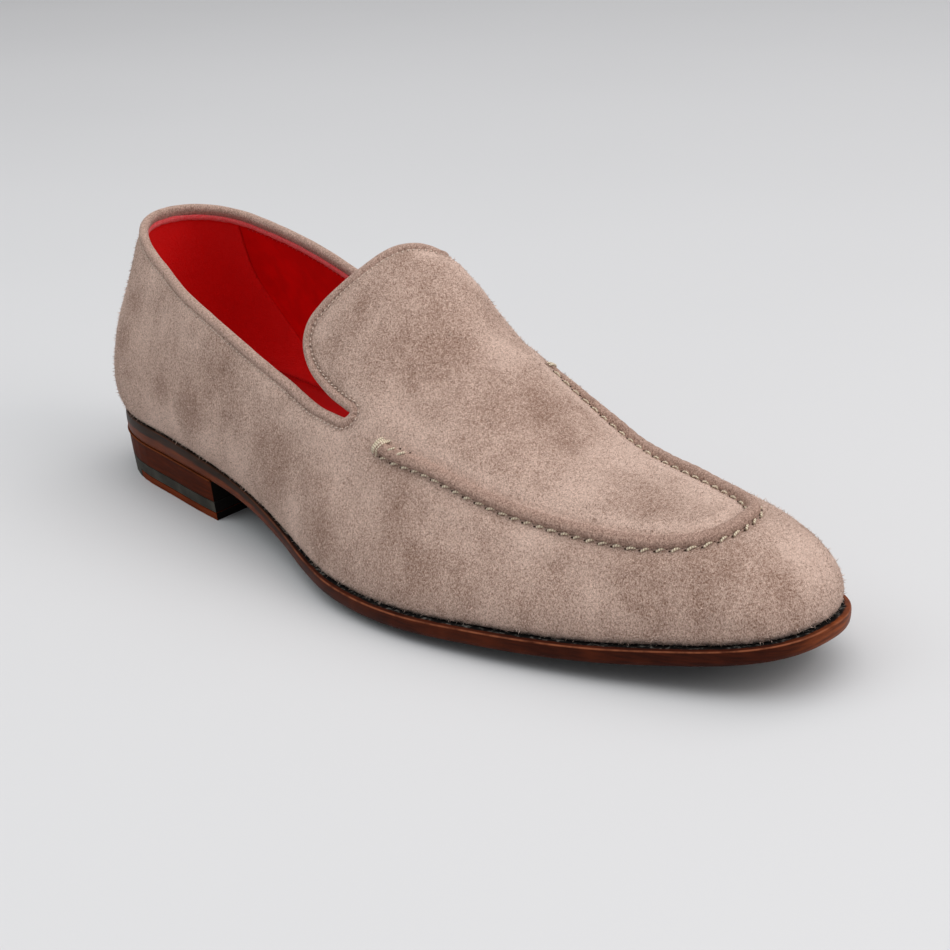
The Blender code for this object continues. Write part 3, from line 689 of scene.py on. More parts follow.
def suede(name, light, dark, nap_and_painted_light, sheen_tint, sheen=0.22):
    """Brushed nap: fine fibres, soft patches where the nap lies another way, partly painted light and shade,
    and a dull sheen.
    """
    n = Nodes(name)
    fibre, tuft, cloud, streak = n.grain("fibre"), n.grain("tuft"), n.grain("cloud"), n.grain("streak")
    lay = n.weigh(0.5, (fibre, 2.4), (tuft, 1.7), (cloud, 0.18), (streak, 0.15))
    if nap_and_painted_light:
        patch = n.weigh(0.0, (streak, 1.0), (cloud, 0.6))
        # Nap patches from the upper's attribute, partly painted light and shade, with a painted highlight
        # strip inside the ridge
        patch = n.band(n.add(n.times(n.value("nap_and_painted_light"), 0.85), patch), -0.80, 0.80)
        lay = n.weigh(lay, (patch, 0.55))
    colour = n.mix(n.band(lay, -0.40, 1.40), dark, light)
    if nap_and_painted_light:
        low = n.times(n.value("stain"), n.band(n.grain("stain"), 0.30, 0.60))
        colour = n.mix(low, colour, SEAM_STAIN)
    rise = n.add(n.times(fibre, 0.9), n.times(tuft, 0.8))
    return n.finish(
        colour, 0.94, n.bump(rise, 0.9, 0.0007),
        Specular_IOR_Level=0.10, Sheen_Weight=sheen, Sheen_Roughness=0.45, Sheen_Tint=(*sheen_tint, 1.0),
    )


def fibres(name, light, dark):
    """Single fibres of the nap, each with its own shade and that of the nap below it."""
    n = Nodes(name)
    tone = n.add(n.times(n.value("tone"), 0.7), n.times(n.grain("cloud"), 0.5))
    return n.finish(n.mix(n.band(tone, 0.1, 1.0), dark, light), 0.9, Specular_IOR_Level=0.12)


def smooth_leather(name, colour, deep, roughness):
    """Dyed leather with a fine grain and a slight mottle."""
    n = Nodes(name)
    grain = n.node("ShaderNodeTexVoronoi", feature="DISTANCE_TO_EDGE")
    n.put(n.object, grain.inputs["Vector"])
    grain.inputs["Scale"].default_value = LEATHER_CELLS
    mottle = n.grain("mottle")
    tone = n.mix(n.band(mottle, 0.32, 0.70), deep, colour)
    rise = n.math("MINIMUM", grain.outputs["Distance"], 0.25)
    rough = n.add(n.times(mottle, 0.15), roughness)
    return n.finish(tone, rough, n.bump(rise, 0.25, 0.0003), Specular_IOR_Level=0.22)


def thread(name, colour, deep):
    """Twisted thread, its plies showing as slanted grooves along the run, with painted shade in the grooves
    and painted highlight on the plies.
    """
    n = Nodes(name)
    ply = n.node("ShaderNodeMath", operation="SINE")
    n.put(n.add(n.times(n.value("run"), PLY_TURNS), n.times(n.value("turn"), 2 * math.pi)), ply.inputs[0])
    # Painted shade in the grooves between the plies, painted highlight on their crowns
    tone = n.mix(n.band(ply.outputs[0], -1.0, 0.6), deep, colour)
    return n.finish(tone, 0.6, n.bump(ply.outputs[0], 0.5, 0.0002), Specular_IOR_Level=0.3, Sheen_Weight=0.2)


def sole_edge():
    """Polished sole: inked seam by the upper, fine arris with a painted highlight, stained brown side,
    painted highlight on the toe, dark waist, black base.
    """
    n = Nodes("polished_sole_leather")
    band, waist = n.value("band"), n.value("waist")
    fibre = n.grain("sole_fibre")
    brown = n.mix(n.band(fibre, 0.25, 0.75), *SOLE_BROWN)
    brown = n.mix(n.times(n.band(n.grain("sole_cloud"), 0.45, 0.75), 0.7), brown, SOLE_CLOUD)
    upper_half = n.less(n.band(n.add(band, n.times(fibre, 0.2)), 1.42, 1.62))
    side = n.mix(n.times(n.less(upper_half), waist), brown, n.mix(n.band(fibre, 0.25, 0.75), *SOLE_TAN))
    side = n.mix(n.times(upper_half, waist), side, n.mix(n.band(fibre, 0.2, 0.8), *SOLE_DULL))
    # Painted highlight at the toe's end
    side = n.mix(n.times(n.value("toe_highlight"), n.band(fibre, 0.1, 0.9)), side, TOE_HIGHLIGHT)
    # Painted highlight along the sole's top arris, broken by noise
    arris = n.less(n.band(n.math("ABSOLUTE", n.math("SUBTRACT", band, 1.03)), 0.015, 0.055))
    wear_and_highlight = n.times(arris, n.band(n.grain("arris_highlight_break"), 0.25, 0.6))
    side = n.mix(n.times(wear_and_highlight, n.less(n.times(waist, 0.8))), side, ARRIS_HIGHLIGHT)
    ink = n.less(n.band(n.add(n.times(n.grain("sole_seam"), 0.9), band), 0.95, 1.20))
    inked = n.mix(n.times(n.band(n.grain("chalk"), 0.52, 0.66), 0.60), *SEAM_INK)
    base = n.mix(n.band(n.grain("sole_base"), 0.3, 0.8), *SOLE_BASE)
    colour = n.mix(n.band(band, 1.96, 2.06), n.mix(ink, side, inked), base)
    rough = n.add(n.add(n.times(fibre, 0.25), 0.30), n.times(ink, 0.4))
    return n.finish(colour, rough, n.bump(fibre, 0.18, 0.0004), Specular_IOR_Level=0.06)


def breast_shade(n, tone):
    """Painted shade: near-black on the faces that look forward under the arch, where the breast lies in
    shadow.
    """
    ahead = n.node("ShaderNodeSeparateXYZ")
    n.put(n.node("ShaderNodeTexCoord").outputs["Normal"], ahead.inputs[0])
    return n.mix(n.band(ahead.outputs["X"], 0.55, 0.80), tone, BREAST_SHADE)


def heel_leather(name, dark, light, rough):
    """Stacked or stained leather, its fibres lying flat in thin layers."""
    n = Nodes(name)
    fibre = n.grain("heel_fibre")
    tone = n.mix(n.band(fibre, 0.25, 0.78), dark, light)
    tone = n.mix(n.times(n.band(n.grain("heel_cloud"), 0.4, 0.75), 0.5), tone, dark)
    rough = n.add(n.times(fibre, 0.2), rough)
    return n.finish(breast_shade(n, tone), rough, n.bump(fibre, 0.2, 0.0004), Specular_IOR_Level=0.02)


def rubber(name):
    """Dull speckled rubber of the top piece."""
    n = Nodes(name)
    tone = n.mix(n.band(n.grain("rubber_cloud"), 0.3, 0.75), *RUBBER_GREY)
    speck = n.bump(n.grain("rubber_speck"), 0.25, 0.0003)
    return n.finish(breast_shade(n, tone), 0.7, speck, Specular_IOR_Level=0.06)


def plain_floor():
    n = Nodes("pale_floor")
    return n.finish(n.mix(n.grain("floor"), *FLOOR_GREY), 0.7, Specular_IOR_Level=0.25)


WARM, DEEP_RED, PALE_RED = (1.0, 0.88, 0.80), (1.0, 0.03, 0.03), (1.0, 0.30, 0.30)
SUEDE_BODY = suede("taupe_suede", (0.866, 0.642, 0.540), (0.180, 0.082, 0.045), True, WARM)
SUEDE_TRIM = suede("taupe_suede_trim", (0.808, 0.568, 0.470), (0.180, 0.092, 0.062), False, WARM)
# The ridge's suede is darker than the body's: partly a browner suede, partly painted shade on its steep face
SUEDE_RIDGE = suede("taupe_suede_ridge", (0.745, 0.510, 0.414), (0.135, 0.066, 0.043), False, WARM, 0.15)
RED_LEATHER = smooth_leather("red_lining_leather", (0.80, 0.0012, 0.0020), (0.66, 0.001, 0.0015), 0.50)
RED_SUEDE = suede("red_suede_counter", (1.0, 0.024, 0.024), (0.95, 0.002, 0.003), False, DEEP_RED, 1.0)
# The lining's raw edge: its pale pink is partly the raw edge's own colour and partly a painted highlight
RED_EDGE = suede("red_lining_edge", (1.0, 0.230, 0.240), (0.95, 0.020, 0.025), False, PALE_RED, 0.9)
# Insole: red leather made darker than the lining, painted shade for the shadow inside the shoe
RED_INSOLE_SHADED = smooth_leather("red_insole_leather_painted_shade", (0.50, 0.0010, 0.0014), (0.40, 0.001, 0.0012), 0.55)
# Threads: their colour, then a darker colour painted as shade in the grooves between the plies
CREAM_THREAD = thread("cream_thread", (0.80, 0.70, 0.53), (0.44, 0.34, 0.23))
TAUPE_THREAD = thread("taupe_thread", (0.76, 0.60, 0.50), (0.42, 0.31, 0.24))
RED_THREAD = thread("red_thread", (0.95, 0.02, 0.025), (0.45, 0.003, 0.005))
HOLE = heel_leather("needle_hole_shadow", (0.050, 0.030, 0.021), (0.090, 0.058, 0.042), 0.8)
SOLE_LEATHER = sole_edge()
STACK_LEATHER = heel_leather("stacked_heel_leather", (0.046, 0.0076, 0.0024), (0.105, 0.0190, 0.0056), 0.40)
INSERT_LEATHER = heel_leather("heel_insert_leather", (0.125, 0.0230, 0.0062), (0.210, 0.0400, 0.0110), 0.46)
# Painted highlight: a lighter line for the arris where the stack meets the sole
SEAT_HIGHLIGHT = heel_leather("heel_seat_highlight_line", (0.100, 0.024, 0.0075), (0.200, 0.052, 0.0160), 0.4)
TOP_RUBBER = rubber("grey_rubber")
NAP_FIBRE = fibres("taupe_suede_fibre", (0.800, 0.610, 0.520), (0.220, 0.146, 0.112))

# Places on the shoe in millimetres: soft folds of the upper, and patches where its nap lies light or dark,
# which also hold painted light and shade
FOLDS = (
    # start, end, half width, depth
    ((157, -37, 50), (161, -43, 38), 7.0, 0.45),
    ((161, -43, 38), (172, -50, 20), 10.0, 0.35),
    ((166, 21, 77), (176, 13, 74), 6.0, 0.5),
    ((176, 13, 74), (186, 2, 70), 8.0, 0.3),
    ((134, -26, 74), (146, -31, 62), 5.0, 0.35),
    ((243, -36, 16), (265, -27, 18), 2.2, 0.18),
    ((265, -27, 18), (285, -17, 20.5), 2.2, 0.22),
    ((285, -17, 20.5), (298, -1, 22), 2.2, 0.22),
    ((118, -40, 44), (128, -44, 29), 8.0, 0.3),
    ((30, -28, 64), (34, -35, 38), 6.0, 0.2),
    ((200, -24, 52), (214, -9, 52), 7.0, -0.25),
    ((190, -12, 61), (202, 3, 60), 8.0, 0.22),
    ((6, -12, 81), (13, -24, 66), 8.0, 0.8),
)
NAP_SPOTS_AND_PAINTED_LIGHT = (
    # x, y, z, radius, shade
    (30, -27, 67, 5, -0.9), (24, -30, 52, 5, -0.9), (46, -31, 60, 8, 0.5), (48, -35, 28, 8, 0.9),
    (57, -37, 43, 5, -0.8), (78, -39, 39, 7, -1.0), (93, -36, 57, 6, -0.7), (119, -35, 57, 9, 0.6),
    (85, -39, 31, 6, 0.7), (154, -39, 47, 9, 0.8), (43, -25, 77, 6, 0.7), (62, -37, 32, 7, 0.8),
    (90, -40, 32, 5, 0.5), (105, -41, 31, 7, 0.9), (126, -41, 41, 7, -0.7), (136, -38, 49, 7, 0.6),
    (128, -44, 30, 8, -0.7), (140, -46, 21, 7, 0.7), (157, -49, 20, 8, -0.8), (103, -38, 49, 9, -0.3),
    (67, -33, 64, 8, 0.3), (148, -3, 96, 5, -0.4), (151, 4, 97, 4, 0.9), (157, 14, 89, 6, 0.9),
    (164, -15, 76, 10, -0.2), (134, -25, 75, 4, 1.0), (167, -29, 58, 8, 0.8), (154, -31, 60, 5, 0.7),
    (182, 5, 72, 8, 0.8), (175, -6, 74, 8, -0.35), (192, -12, 61, 9, -0.2), (144, -17, 85, 6, -0.2),
    (201, 2, 61, 9, -0.5), (197, 25, 56, 8, 0.8), (212, 0, 54, 8, -0.4), (229, 12, 47, 10, 1.0),
    (229, -14, 44, 8, 0.8), (252, -3, 43, 8, -0.4), (256, 9, 44, 8, 0.7), (229, -28, 35, 7, 0.9),
    (259, -21, 32, 9, -0.35), (250, -29, 26, 7, 0.5), (278, -9, 35, 9, -0.3), (290, 14, 37, 8, 1.0),
    (293, 11, 32, 7, 0.7), (292, -1, 32, 6, -0.4), (278, -17, 27, 7, -0.4), (202, -37, 35, 10, 0.4),
    (184, -40, 37, 8, -0.4), (170, -43, 35, 8, 0.5), (198, -45, 24, 10, -0.5), (224, -38, 24, 9, 0.3),
    (183, -26, 55, 9, 0.3), (32, -34, 40, 6, -0.3), (60, 30, 50, 9, 0.6), (80, 33, 35, 8, -0.7),
    (110, 30, 45, 9, 0.5), (40, 30, 30, 8, -0.6), (140, 38, 40, 9, -0.5), (170, 42, 35, 10, 0.5),
    (200, 44, 25, 9, -0.5), (230, 42, 25, 9, 0.5), (20, 22, 60, 8, 0.5), (6, 5, 70, 7, -0.5),
    (2, -5, 45, 8, 0.5), (100, 28, 70, 8, -0.4), (255, 38, 28, 9, -0.5), (185, 28, 58, 8, -0.4),
)


# Rise of the skin beside the ridge and the topline: distance from the line, half width, height
RIDGE_PILLOWS = ((0.0027, 0.0010, -0.00035), (0.0075, 0.0032, 0.00035))
TOPLINE_PILLOWS = ((0.0, 0.0013, -0.00025), (0.0050, 0.0028, 0.00025))
# Unevenness of the lasted skin: rate, height
SKIN_WAVES = ((45, 0.00030), (140, 0.00010))
# Painted highlight in a strip inside the ridge, and how far the ink of the sole's seam soaks up
RIDGE_HIGHLIGHT_MIDDLE, RIDGE_HIGHLIGHT_HALF, RIDGE_HIGHLIGHT_AMOUNT = 0.0046, 0.0022, 0.9
SOAK = 0.0013


def bell(t):
    return np.exp(-t ** 2)


def upper_relief(bm, opening, ridge):
    """Soft folds, the pillow beside each sewn line, and the unevenness of a sewn, lasted skin."""
    where = coords(bm)
    lift = np.zeros(len(where))
    for start, end, half, depth in FOLDS:
        lift -= depth * MM * bell(segment_distance(where, start, end) / (half * MM))
    for line, pillows in ((ridge, RIDGE_PILLOWS), (opening, TOPLINE_PILLOWS)):
        gap = nearest(line.points, where)[1]
        for middle, half, height in pillows:
            lift += height * bell((gap - middle) / half)
    for i, p in enumerate(where):
        lift[i] += sum(height * noise.noise(p * rate) for rate, height in SKIN_WAVES)
    for v, amount in zip(bm.verts, lift):
        v.co += v.normal * float(amount)
    return where


def build_upper(opening, ridge):
    """Suede skin with the shades of its brushed nap, partly painted light and shade, a painted highlight
    strip inside the ridge, and the raised fibres on it.
    """
    bm = Skin(*SUEDE_SKIN).mesh()
    where = upper_relief(bm, opening, ridge)
    # Painted highlight in a strip inside the ridge, then nap patches that are partly painted light and shade
    nap_and_painted_light = RIDGE_HIGHLIGHT_AMOUNT * bell((inside(ridge, where) - RIDGE_HIGHLIGHT_MIDDLE) / RIDGE_HIGHLIGHT_HALF)
    for x, y, z, radius, shade in NAP_SPOTS_AND_PAINTED_LIGHT:
        gap = np.linalg.norm(where - np.array((x, y, z)) * MM, axis=1)
        nap_and_painted_light += shade * bell(gap / (radius * MM))
    set_value(bm, "nap_and_painted_light", nap_and_painted_light)
    nap = bm.copy()
    low = where[:, 2] - section("feather", where[:, 0])
    set_value(bm, "stain", bell(np.clip(low, 0, None) / SOAK))
    bmesh.ops.solidify(bm, geom=bm.faces[:], thickness=SUEDE)
    piece("suede_upper", bm, SUEDE_BODY, ["upper"])
    add_nap(piece("suede_nap", nap, NAP_FIBRE))


# Raised fibres: their size, the spread of their lengths, and how far they lean from the normal
FIBRE_COUNT, FIBRE_LENGTH, FIBRE_RADIUS = 46000, 0.00058, 0.000055
FIBRE_SHORTEST, FIBRE_LONGEST, FIBRE_FEW_LONG = 0.6, 2.3, 4.0
FIBRE_LEAN = (-1.0, -0.9, -1.0), (0.7, 0.9, 0.6)


def add_nap(item):
    """Short raised fibres scattered over a sheet, which gives way to them."""
    area = sum(face.area for face in item.data.polygons)
    tree = bpy.data.node_groups.new("raised_nap", "GeometryNodeTree")
    tree.interface.new_socket("Sheet", in_out="INPUT", socket_type="NodeSocketGeometry")
    tree.interface.new_socket("Fibres", in_out="OUTPUT", socket_type="NodeSocketGeometry")

    def node(kind, inputs=(), **settings):
        made = tree.nodes.new(kind)
        for key, value in settings.items():
            setattr(made, key, value)
        for key, value in inputs:
            made.inputs[key].default_value = value
        return made

    sheet, out = node("NodeGroupInput"), node("NodeGroupOutput")
    scatter = node("GeometryNodeDistributePointsOnFaces", [("Density", FIBRE_COUNT / area)])
    cone = [("Vertices", 3), ("Radius Top", 0.0), ("Radius Bottom", FIBRE_RADIUS), ("Depth", FIBRE_LENGTH)]
    spike = node("GeometryNodeMeshCone", cone, fill_type="NGON")
    lie = node("FunctionNodeRandomValue", data_type="FLOAT_VECTOR")
    lie.inputs["Min"].default_value, lie.inputs["Max"].default_value = FIBRE_LEAN
    way = node("ShaderNodeVectorMath")
    turn = node("FunctionNodeAlignRotationToVector", axis="Z")
    grow = node("FunctionNodeRandomValue", [("Seed", 3)])
    few = node("ShaderNodeMath", [(1, FIBRE_FEW_LONG)], operation="POWER")
    reach = [(1, FIBRE_LONGEST - FIBRE_SHORTEST), (2, FIBRE_SHORTEST)]
    length = node("ShaderNodeMath", reach, operation="MULTIPLY_ADD")
    plant = node("GeometryNodeInstanceOnPoints")
    shade = node("FunctionNodeRandomValue", [("Seed", 5)])
    keep = node("GeometryNodeStoreNamedAttribute", [("Name", "tone")], domain="INSTANCE")
    real = node("GeometryNodeRealizeInstances")
    dress = node("GeometryNodeSetMaterial", [("Material", NAP_FIBRE)])
    for source, name, target, at in (
        (sheet, "Sheet", scatter, "Mesh"), (scatter, "Normal", way, 0), (lie, "Value", way, 1),
        (way, "Vector", turn, "Vector"), (turn, "Rotation", plant, "Rotation"),
        (scatter, "Points", plant, "Points"), (spike, "Mesh", plant, "Instance"),
        (grow, 1, few, 0), (few, 0, length, 0), (length, 0, plant, "Scale"),
        (plant, "Instances", keep, "Geometry"), (shade, 1, keep, "Value"),
        (keep, "Geometry", real, "Geometry"), (real, "Geometry", dress, "Geometry"),
        (dress, "Geometry", out, "Fibres"),
    ):
        tree.links.new(source.outputs[name], target.inputs[at])
    item.modifiers.new("raised_nap", "NODES").node_group = tree


def build_lining():
    """Red leather inside the whole upper."""
    bm = Skin(*LINING_SKIN).mesh()
    for v in bm.verts:
        v.co -= v.normal * (SUEDE + LINING_AIR)
    bmesh.ops.solidify(bm, geom=bm.faces[:], thickness=LINING)
    piece("red_lining", bm, RED_LEATHER)


# The counter behind the heel: depth from the outside, foot, grid, and its curved front edge
LINING_DEPTH = SUEDE + LINING + COUNTER_AIR
COUNTER_FOOT, COUNTER_ROWS, COUNTER_COLUMNS = 0.02, 40, 110
COUNTER_AHEAD, COUNTER_SAMPLES = 4.6, 200
COUNTER_TOP = 0.0330
COUNTER_FRONT = (("z", "x"), (
    (0.026, 0.066), (0.032, 0.057), (0.037, 0.0495), (0.0422, 0.0432), (0.0478, 0.0376), (0.0542, 0.0328),
    (0.0606, 0.0294), (0.0677, 0.0279), (0.0738, 0.0280), (0.0819, 0.0291), (0.0900, 0.0305),
))


def quarter_rho(place, share):
    """Fraction in from the outline at a share of the height of the quarters' edge."""
    x = outline_x(place)
    return arch_rho(x, share * arch(x, edge_rho(place)))


def counter_grid():
    """Inside of the heel from one curved front edge round to the other, as places and fractions."""
    sample = np.linspace(COUNTER_AHEAD, 6.0, COUNTER_SAMPLES)
    places, rho = [], []
    for share in np.linspace(COUNTER_FOOT, 1.0, COUNTER_ROWS + 1):
        p = wall(sample, quarter_rho(sample, share))
        front = np.interp(0.0, curve(COUNTER_FRONT, "x", p[:, 2]) - p[:, 0], sample)
        row = np.linspace(front, 12 - front, COUNTER_COLUMNS + 1)
        places.append(row)
        rho.append(quarter_rho(row, share))
    return np.array(places), np.array(rho)


def build_counter():
    """Red suede that lines the back of the heel."""
    places, rho = counter_grid()
    bm = bmesh.new()
    new_grid(bm, wall(places, rho) - wall_normal(places, rho) * LINING_DEPTH)
    weld(bm)
    turned(bm, min, 0, -1)
    bmesh.ops.solidify(bm, geom=bm.faces[:], thickness=COUNTER)
    piece("red_heel_counter", bm, RED_SUEDE)


# Rolled binding: place across the topline, half width, depth, thickness, hem, nip at each stitch, waves
BEAD_MIDDLE, BEAD_HALF = 0.00125, 0.00175
BEAD_DEPTH, BEAD_THICK, BEAD_HEM = 0.00110, 0.00160, 0.0016
BEAD_NIP, BEAD_POINTS = 0.00045, 22
BEAD_WAVES = ((0.02, 210, 0.0), (0.015, 530, 1.0))
NIP_SHARP = 6


def build_binding(line):
    """Rolled strip round the opening, nipped in by the stitches along its lower edge."""
    angle, run = profile(BEAD_POINTS), line.run[None]
    nip = BEAD_NIP * np.cos(np.pi * run / BINDING_STITCH) ** NIP_SHARP
    low = np.clip(-np.cos(angle), 0, 1) * np.clip(np.sin(angle) + 0.5, 0, 1)
    hem = np.clip(-np.sin(angle), 0, 1) * np.clip(-np.cos(angle), 0, 1)
    wave = uneven(run, BEAD_WAVES)
    b = BEAD_MIDDLE + BEAD_HALF * np.cos(angle) * wave + low * nip - hem * BEAD_HEM
    d = BEAD_THICK * np.sin(angle) * wave - BEAD_DEPTH - low * nip * 0.5
    piece("topline_binding", tube(line, b, d), SUEDE_TRIM, ["collar_binding"])


# Apron ridge: height, depth of its foot, rounded ends, low far end, waves, pull of the stitches, form
RIDGE_HIGH, RIDGE_SINK, RIDGE_END = 0.0027, 0.0004, 0.0035
RIDGE_LOW, RIDGE_RUN_OUT = 0.40, 0.034
RIDGE_WAVES = ((0.04, 160, 0.7), (0.025, 370, 0.0))
RIDGE_PULL, RIDGE_DIP, RIDGE_TIP, RIDGE_POINTS = 0.12, 0.05, 0.35, 24
RIDGE_SIDE, RIDGE_CROWN, TOP_SIDE, TOP_CROWN = 0.60, 0.75, 2.6, 0.55


def run_out(line, run):
    """Share of the ridge's height, which sinks towards its far end."""
    return RIDGE_LOW + (1 - RIDGE_LOW) * smooth((line.length - run) / RIDGE_RUN_OUT)


def ridge_top(across):
    """Height of the pinched ridge at a distance across it."""
    share = np.clip(1 - np.abs(across / RIDGE_HALF) ** TOP_SIDE, 0, 1)
    return float(RIDGE_HIGH * share ** TOP_CROWN - RIDGE_SINK)


def build_ridge(line):
    """Pinched apron ridge, drawn in at each stitch, its ends run out under the tacks."""
    angle, run = profile(RIDGE_POINTS), line.run[None]
    ends = np.clip(np.minimum(run, line.length - run) / RIDGE_END, 0, 1)
    round_off = np.sqrt(np.clip(1 - (1 - ends) ** 2, 0, 1)) * run_out(line, run)
    pull = np.cos(np.pi * run / STITCH) ** NIP_SHARP
    side, up = np.cos(angle), np.sin(angle)
    half = RIDGE_HALF * (1 - RIDGE_PULL * pull * np.abs(side)) * (RIDGE_TIP + (1 - RIDGE_TIP) * round_off)
    b = half * np.sign(side) * np.abs(side) ** RIDGE_SIDE
    high = RIDGE_HIGH * uneven(run, RIDGE_WAVES) * (1 - RIDGE_DIP * pull) * round_off
    d = np.where(up >= 0, high * np.abs(up) ** RIDGE_CROWN, -RIDGE_SINK * np.abs(up)) - RIDGE_SINK
    piece("apron_ridge", tube(line, b, d), SUEDE_RIDGE)


def strand(bm, path, up, radius, sides, steps):
    """One length of thread along a few points, tapered into the leather at both ends."""
    path, up = np.array(path), unit(np.array(up))
    at = np.linspace(0, 1, steps + 1)
    knots = np.linspace(0, 1, len(path))
    p = np.stack([np.interp(at, knots, path[:, k]) for k in range(3)], axis=-1)
    t = unit(np.gradient(p, axis=0))
    side = unit(np.cross(up, t))
    top = np.cross(t, side)
    taper = np.sqrt(np.clip(1 - np.abs(2 * at - 1) ** 6, 0, 1))
    angle = np.linspace(0, 2 * np.pi, sides + 1)[:, None, None]
    r = (radius * taper)[None, :, None]
    points = p[None] + r * (np.cos(angle) * side[None] + np.sin(angle) * top[None])
    along = bm.verts.layers.float.get("run") or bm.verts.layers.float.new("run")
    turn = bm.verts.layers.float.get("turn") or bm.verts.layers.float.new("turn")
    made = new_grid(bm, points)
    run = np.concatenate([[0], np.cumsum(np.linalg.norm(np.diff(p, axis=0), axis=1))])
    for k, v in enumerate(made):
        v[along] = run[k % (steps + 1)]
        v[turn] = (k // (steps + 1)) / sides


def jitter(k, amount):
    """Small steady unevenness of handwork for the piece of a row with a number."""
    return amount * noise.noise(Vector((k * 1.7, 4.1, 0.3)))


# Stitches on the ridge: where their rows lie across it, where they start and stop along it
OUTER_FOOT, ON_RIDGE, INNER_FOOT = -RIDGE_HALF - 0.0002, RIDGE_HALF * 0.5, RIDGE_HALF + 0.0001
FIRST_OUTER, FIRST_INNER, ROW_END = 0.0052, 0.0072, 0.0040
NEAR_INNER, TOE_INNER = 2, 0.004
# Rows of stitches: place across the line, lift, length, radius, slant, bow, sides and steps of a thread
STITCHES = {
    "outer": (OUTER_FOOT, 0.00030, 0.0025, 0.00038, 0.0011, 0.0007, 8, 10),
    "on_ridge": (ON_RIDGE, ridge_top(ON_RIDGE) + 0.0003, 0.0027, 0.00034, 0.0016, 0.0005, 8, 10),
    "inner": (INNER_FOOT, 0.00022, 0.0024, 0.00028, 0.0005, 0.0006, 8, 10),
    "binding": (-0.00060, 0.00004, 0.0012, 0.00022, 0.0003, 0.0003, 6, 5),
}
# Tacks over the ridge's ends: place from the end, step, half width, lean, height and rise, thread
TACK_IN, TACK_STEP, TACK_HALF, TACK_LEAN = 0.0010, 0.00066, 0.0029, 0.34
TACK_HIGH, TACK_RISE, TACK_LIFT, TACK_RADIUS = 0.62, 0.08, 0.00020, 0.00036
TACK_NEAR, TACK_FAR = 4, 2
# Needle holes: reach from a stitch's middle, size, slant and depth
OUTER_REACH, INNER_REACH = 0.0016, 0.0014
HOLE_SIZE, HOLE_SLANT, HOLE_DEPTH = (0.00034, 0.00028, 0.00016, 1.0), 0.0004, 0.00010


def stitch_row(bm, line, runs, row):
    """Running stitches beside a line, each bowed over the leather between its two holes."""
    across, lift, length, radius, slant, bow, sides, steps = STITCHES[row]
    for k, run in enumerate(runs):
        path = []
        own = length * (1 + jitter(k, 0.25))
        for f in (-0.5, -0.3, 0.0, 0.3, 0.5):
            p, _, a, n = line.at(run + jitter(k + 50, 0.12) * length + f * own)
            rise = lift + bow * (1 - (2 * f) ** 2) - bow
            path.append(p + a * (across + slant * f * (1 + jitter(k + 90, 0.8))) + n * rise)
        strand(bm, path, line.at(run)[3], radius * (1 + jitter(k + 20, 0.25)), sides, steps)


def outer_runs(line):
    return np.arange(FIRST_OUTER, line.length - ROW_END, STITCH)


def inner_runs(line):
    """Stitches inside the ridge: two by the near tack, then from the toe's middle along the far side."""
    runs = np.arange(FIRST_INNER, line.length - ROW_END, STITCH)
    ahead = runs > line.run[np.argmax(line.points[:, 0])] - TOE_INNER
    ahead[:NEAR_INNER] = True
    return runs[ahead]


def tack_thread(bm, line, end, way, k):
    """One thread of a tack, laid slantwise over the ridge."""
    path = []
    for b in np.linspace(-1, 1, 9) * TACK_HALF * (1 + jitter(k + 7, 0.5)):
        p, t, a, n = line.at(end + way * (k + jitter(k + 31, 0.7)) * TACK_STEP)
        high = (TACK_HIGH + TACK_RISE * k) * float(run_out(line, end))
        top = max(ridge_top(b * 0.82) * high, -0.0001)
        path.append(p + a * b + t * way * b * (TACK_LEAN + jitter(k, 0.6)) + n * (top + TACK_LIFT))
    strand(bm, path, line.at(end)[3], TACK_RADIUS + jitter(k + 3, 0.00012), 8, 18)


def build_apron_stitches(line):
    """Saddle stitches on both sides of the ridge and the tacks at its ends."""
    bm = bmesh.new()
    inner = inner_runs(line)
    stitch_row(bm, line, outer_runs(line), "outer")
    stitch_row(bm, line, inner[:NEAR_INNER], "on_ridge")
    stitch_row(bm, line, inner[NEAR_INNER:], "inner")
    for end, way, threads in ((TACK_IN, 1, TACK_NEAR), (line.length - TACK_IN, -1, TACK_FAR)):
        for k in range(threads):
            tack_thread(bm, line, end, way, k)
    weld(bm)
    piece("apron_stitches", bm, CREAM_THREAD)


def build_needle_holes(line):
    """Dark dimples at the ends of the apron's stitches, painted shadow in the needle holes."""
    bm = bmesh.new()
    size = Matrix.Diagonal(HOLE_SIZE)
    rows = ((outer_runs(line), OUTER_FOOT, OUTER_REACH), (inner_runs(line), INNER_FOOT, INNER_REACH))
    for runs, across, reach in rows:
        for run in runs:
            for side in (-1, 1):
                p, t, a, n = line.at(run + side * reach)
                turn = Matrix((t, a, n)).transposed().to_4x4()
                place = Matrix.Translation(Vector(p + a * (across + side * HOLE_SLANT) - n * HOLE_DEPTH))
                spot = place @ turn @ size
                bmesh.ops.create_uvsphere(bm, u_segments=8, v_segments=6, radius=1.0, matrix=spot)
    bmesh.ops.recalc_face_normals(bm, faces=bm.faces[:])
    piece("apron_needle_holes", bm, HOLE)


def build_binding_stitches(line):
    """Fine stitches along the lower edge of the binding."""
    bm = bmesh.new()
    stitch_row(bm, line, np.arange(BINDING_STITCH / 2, line.length, BINDING_STITCH), "binding")
    weld(bm)
    piece("binding_stitches", bm, TAUPE_THREAD)


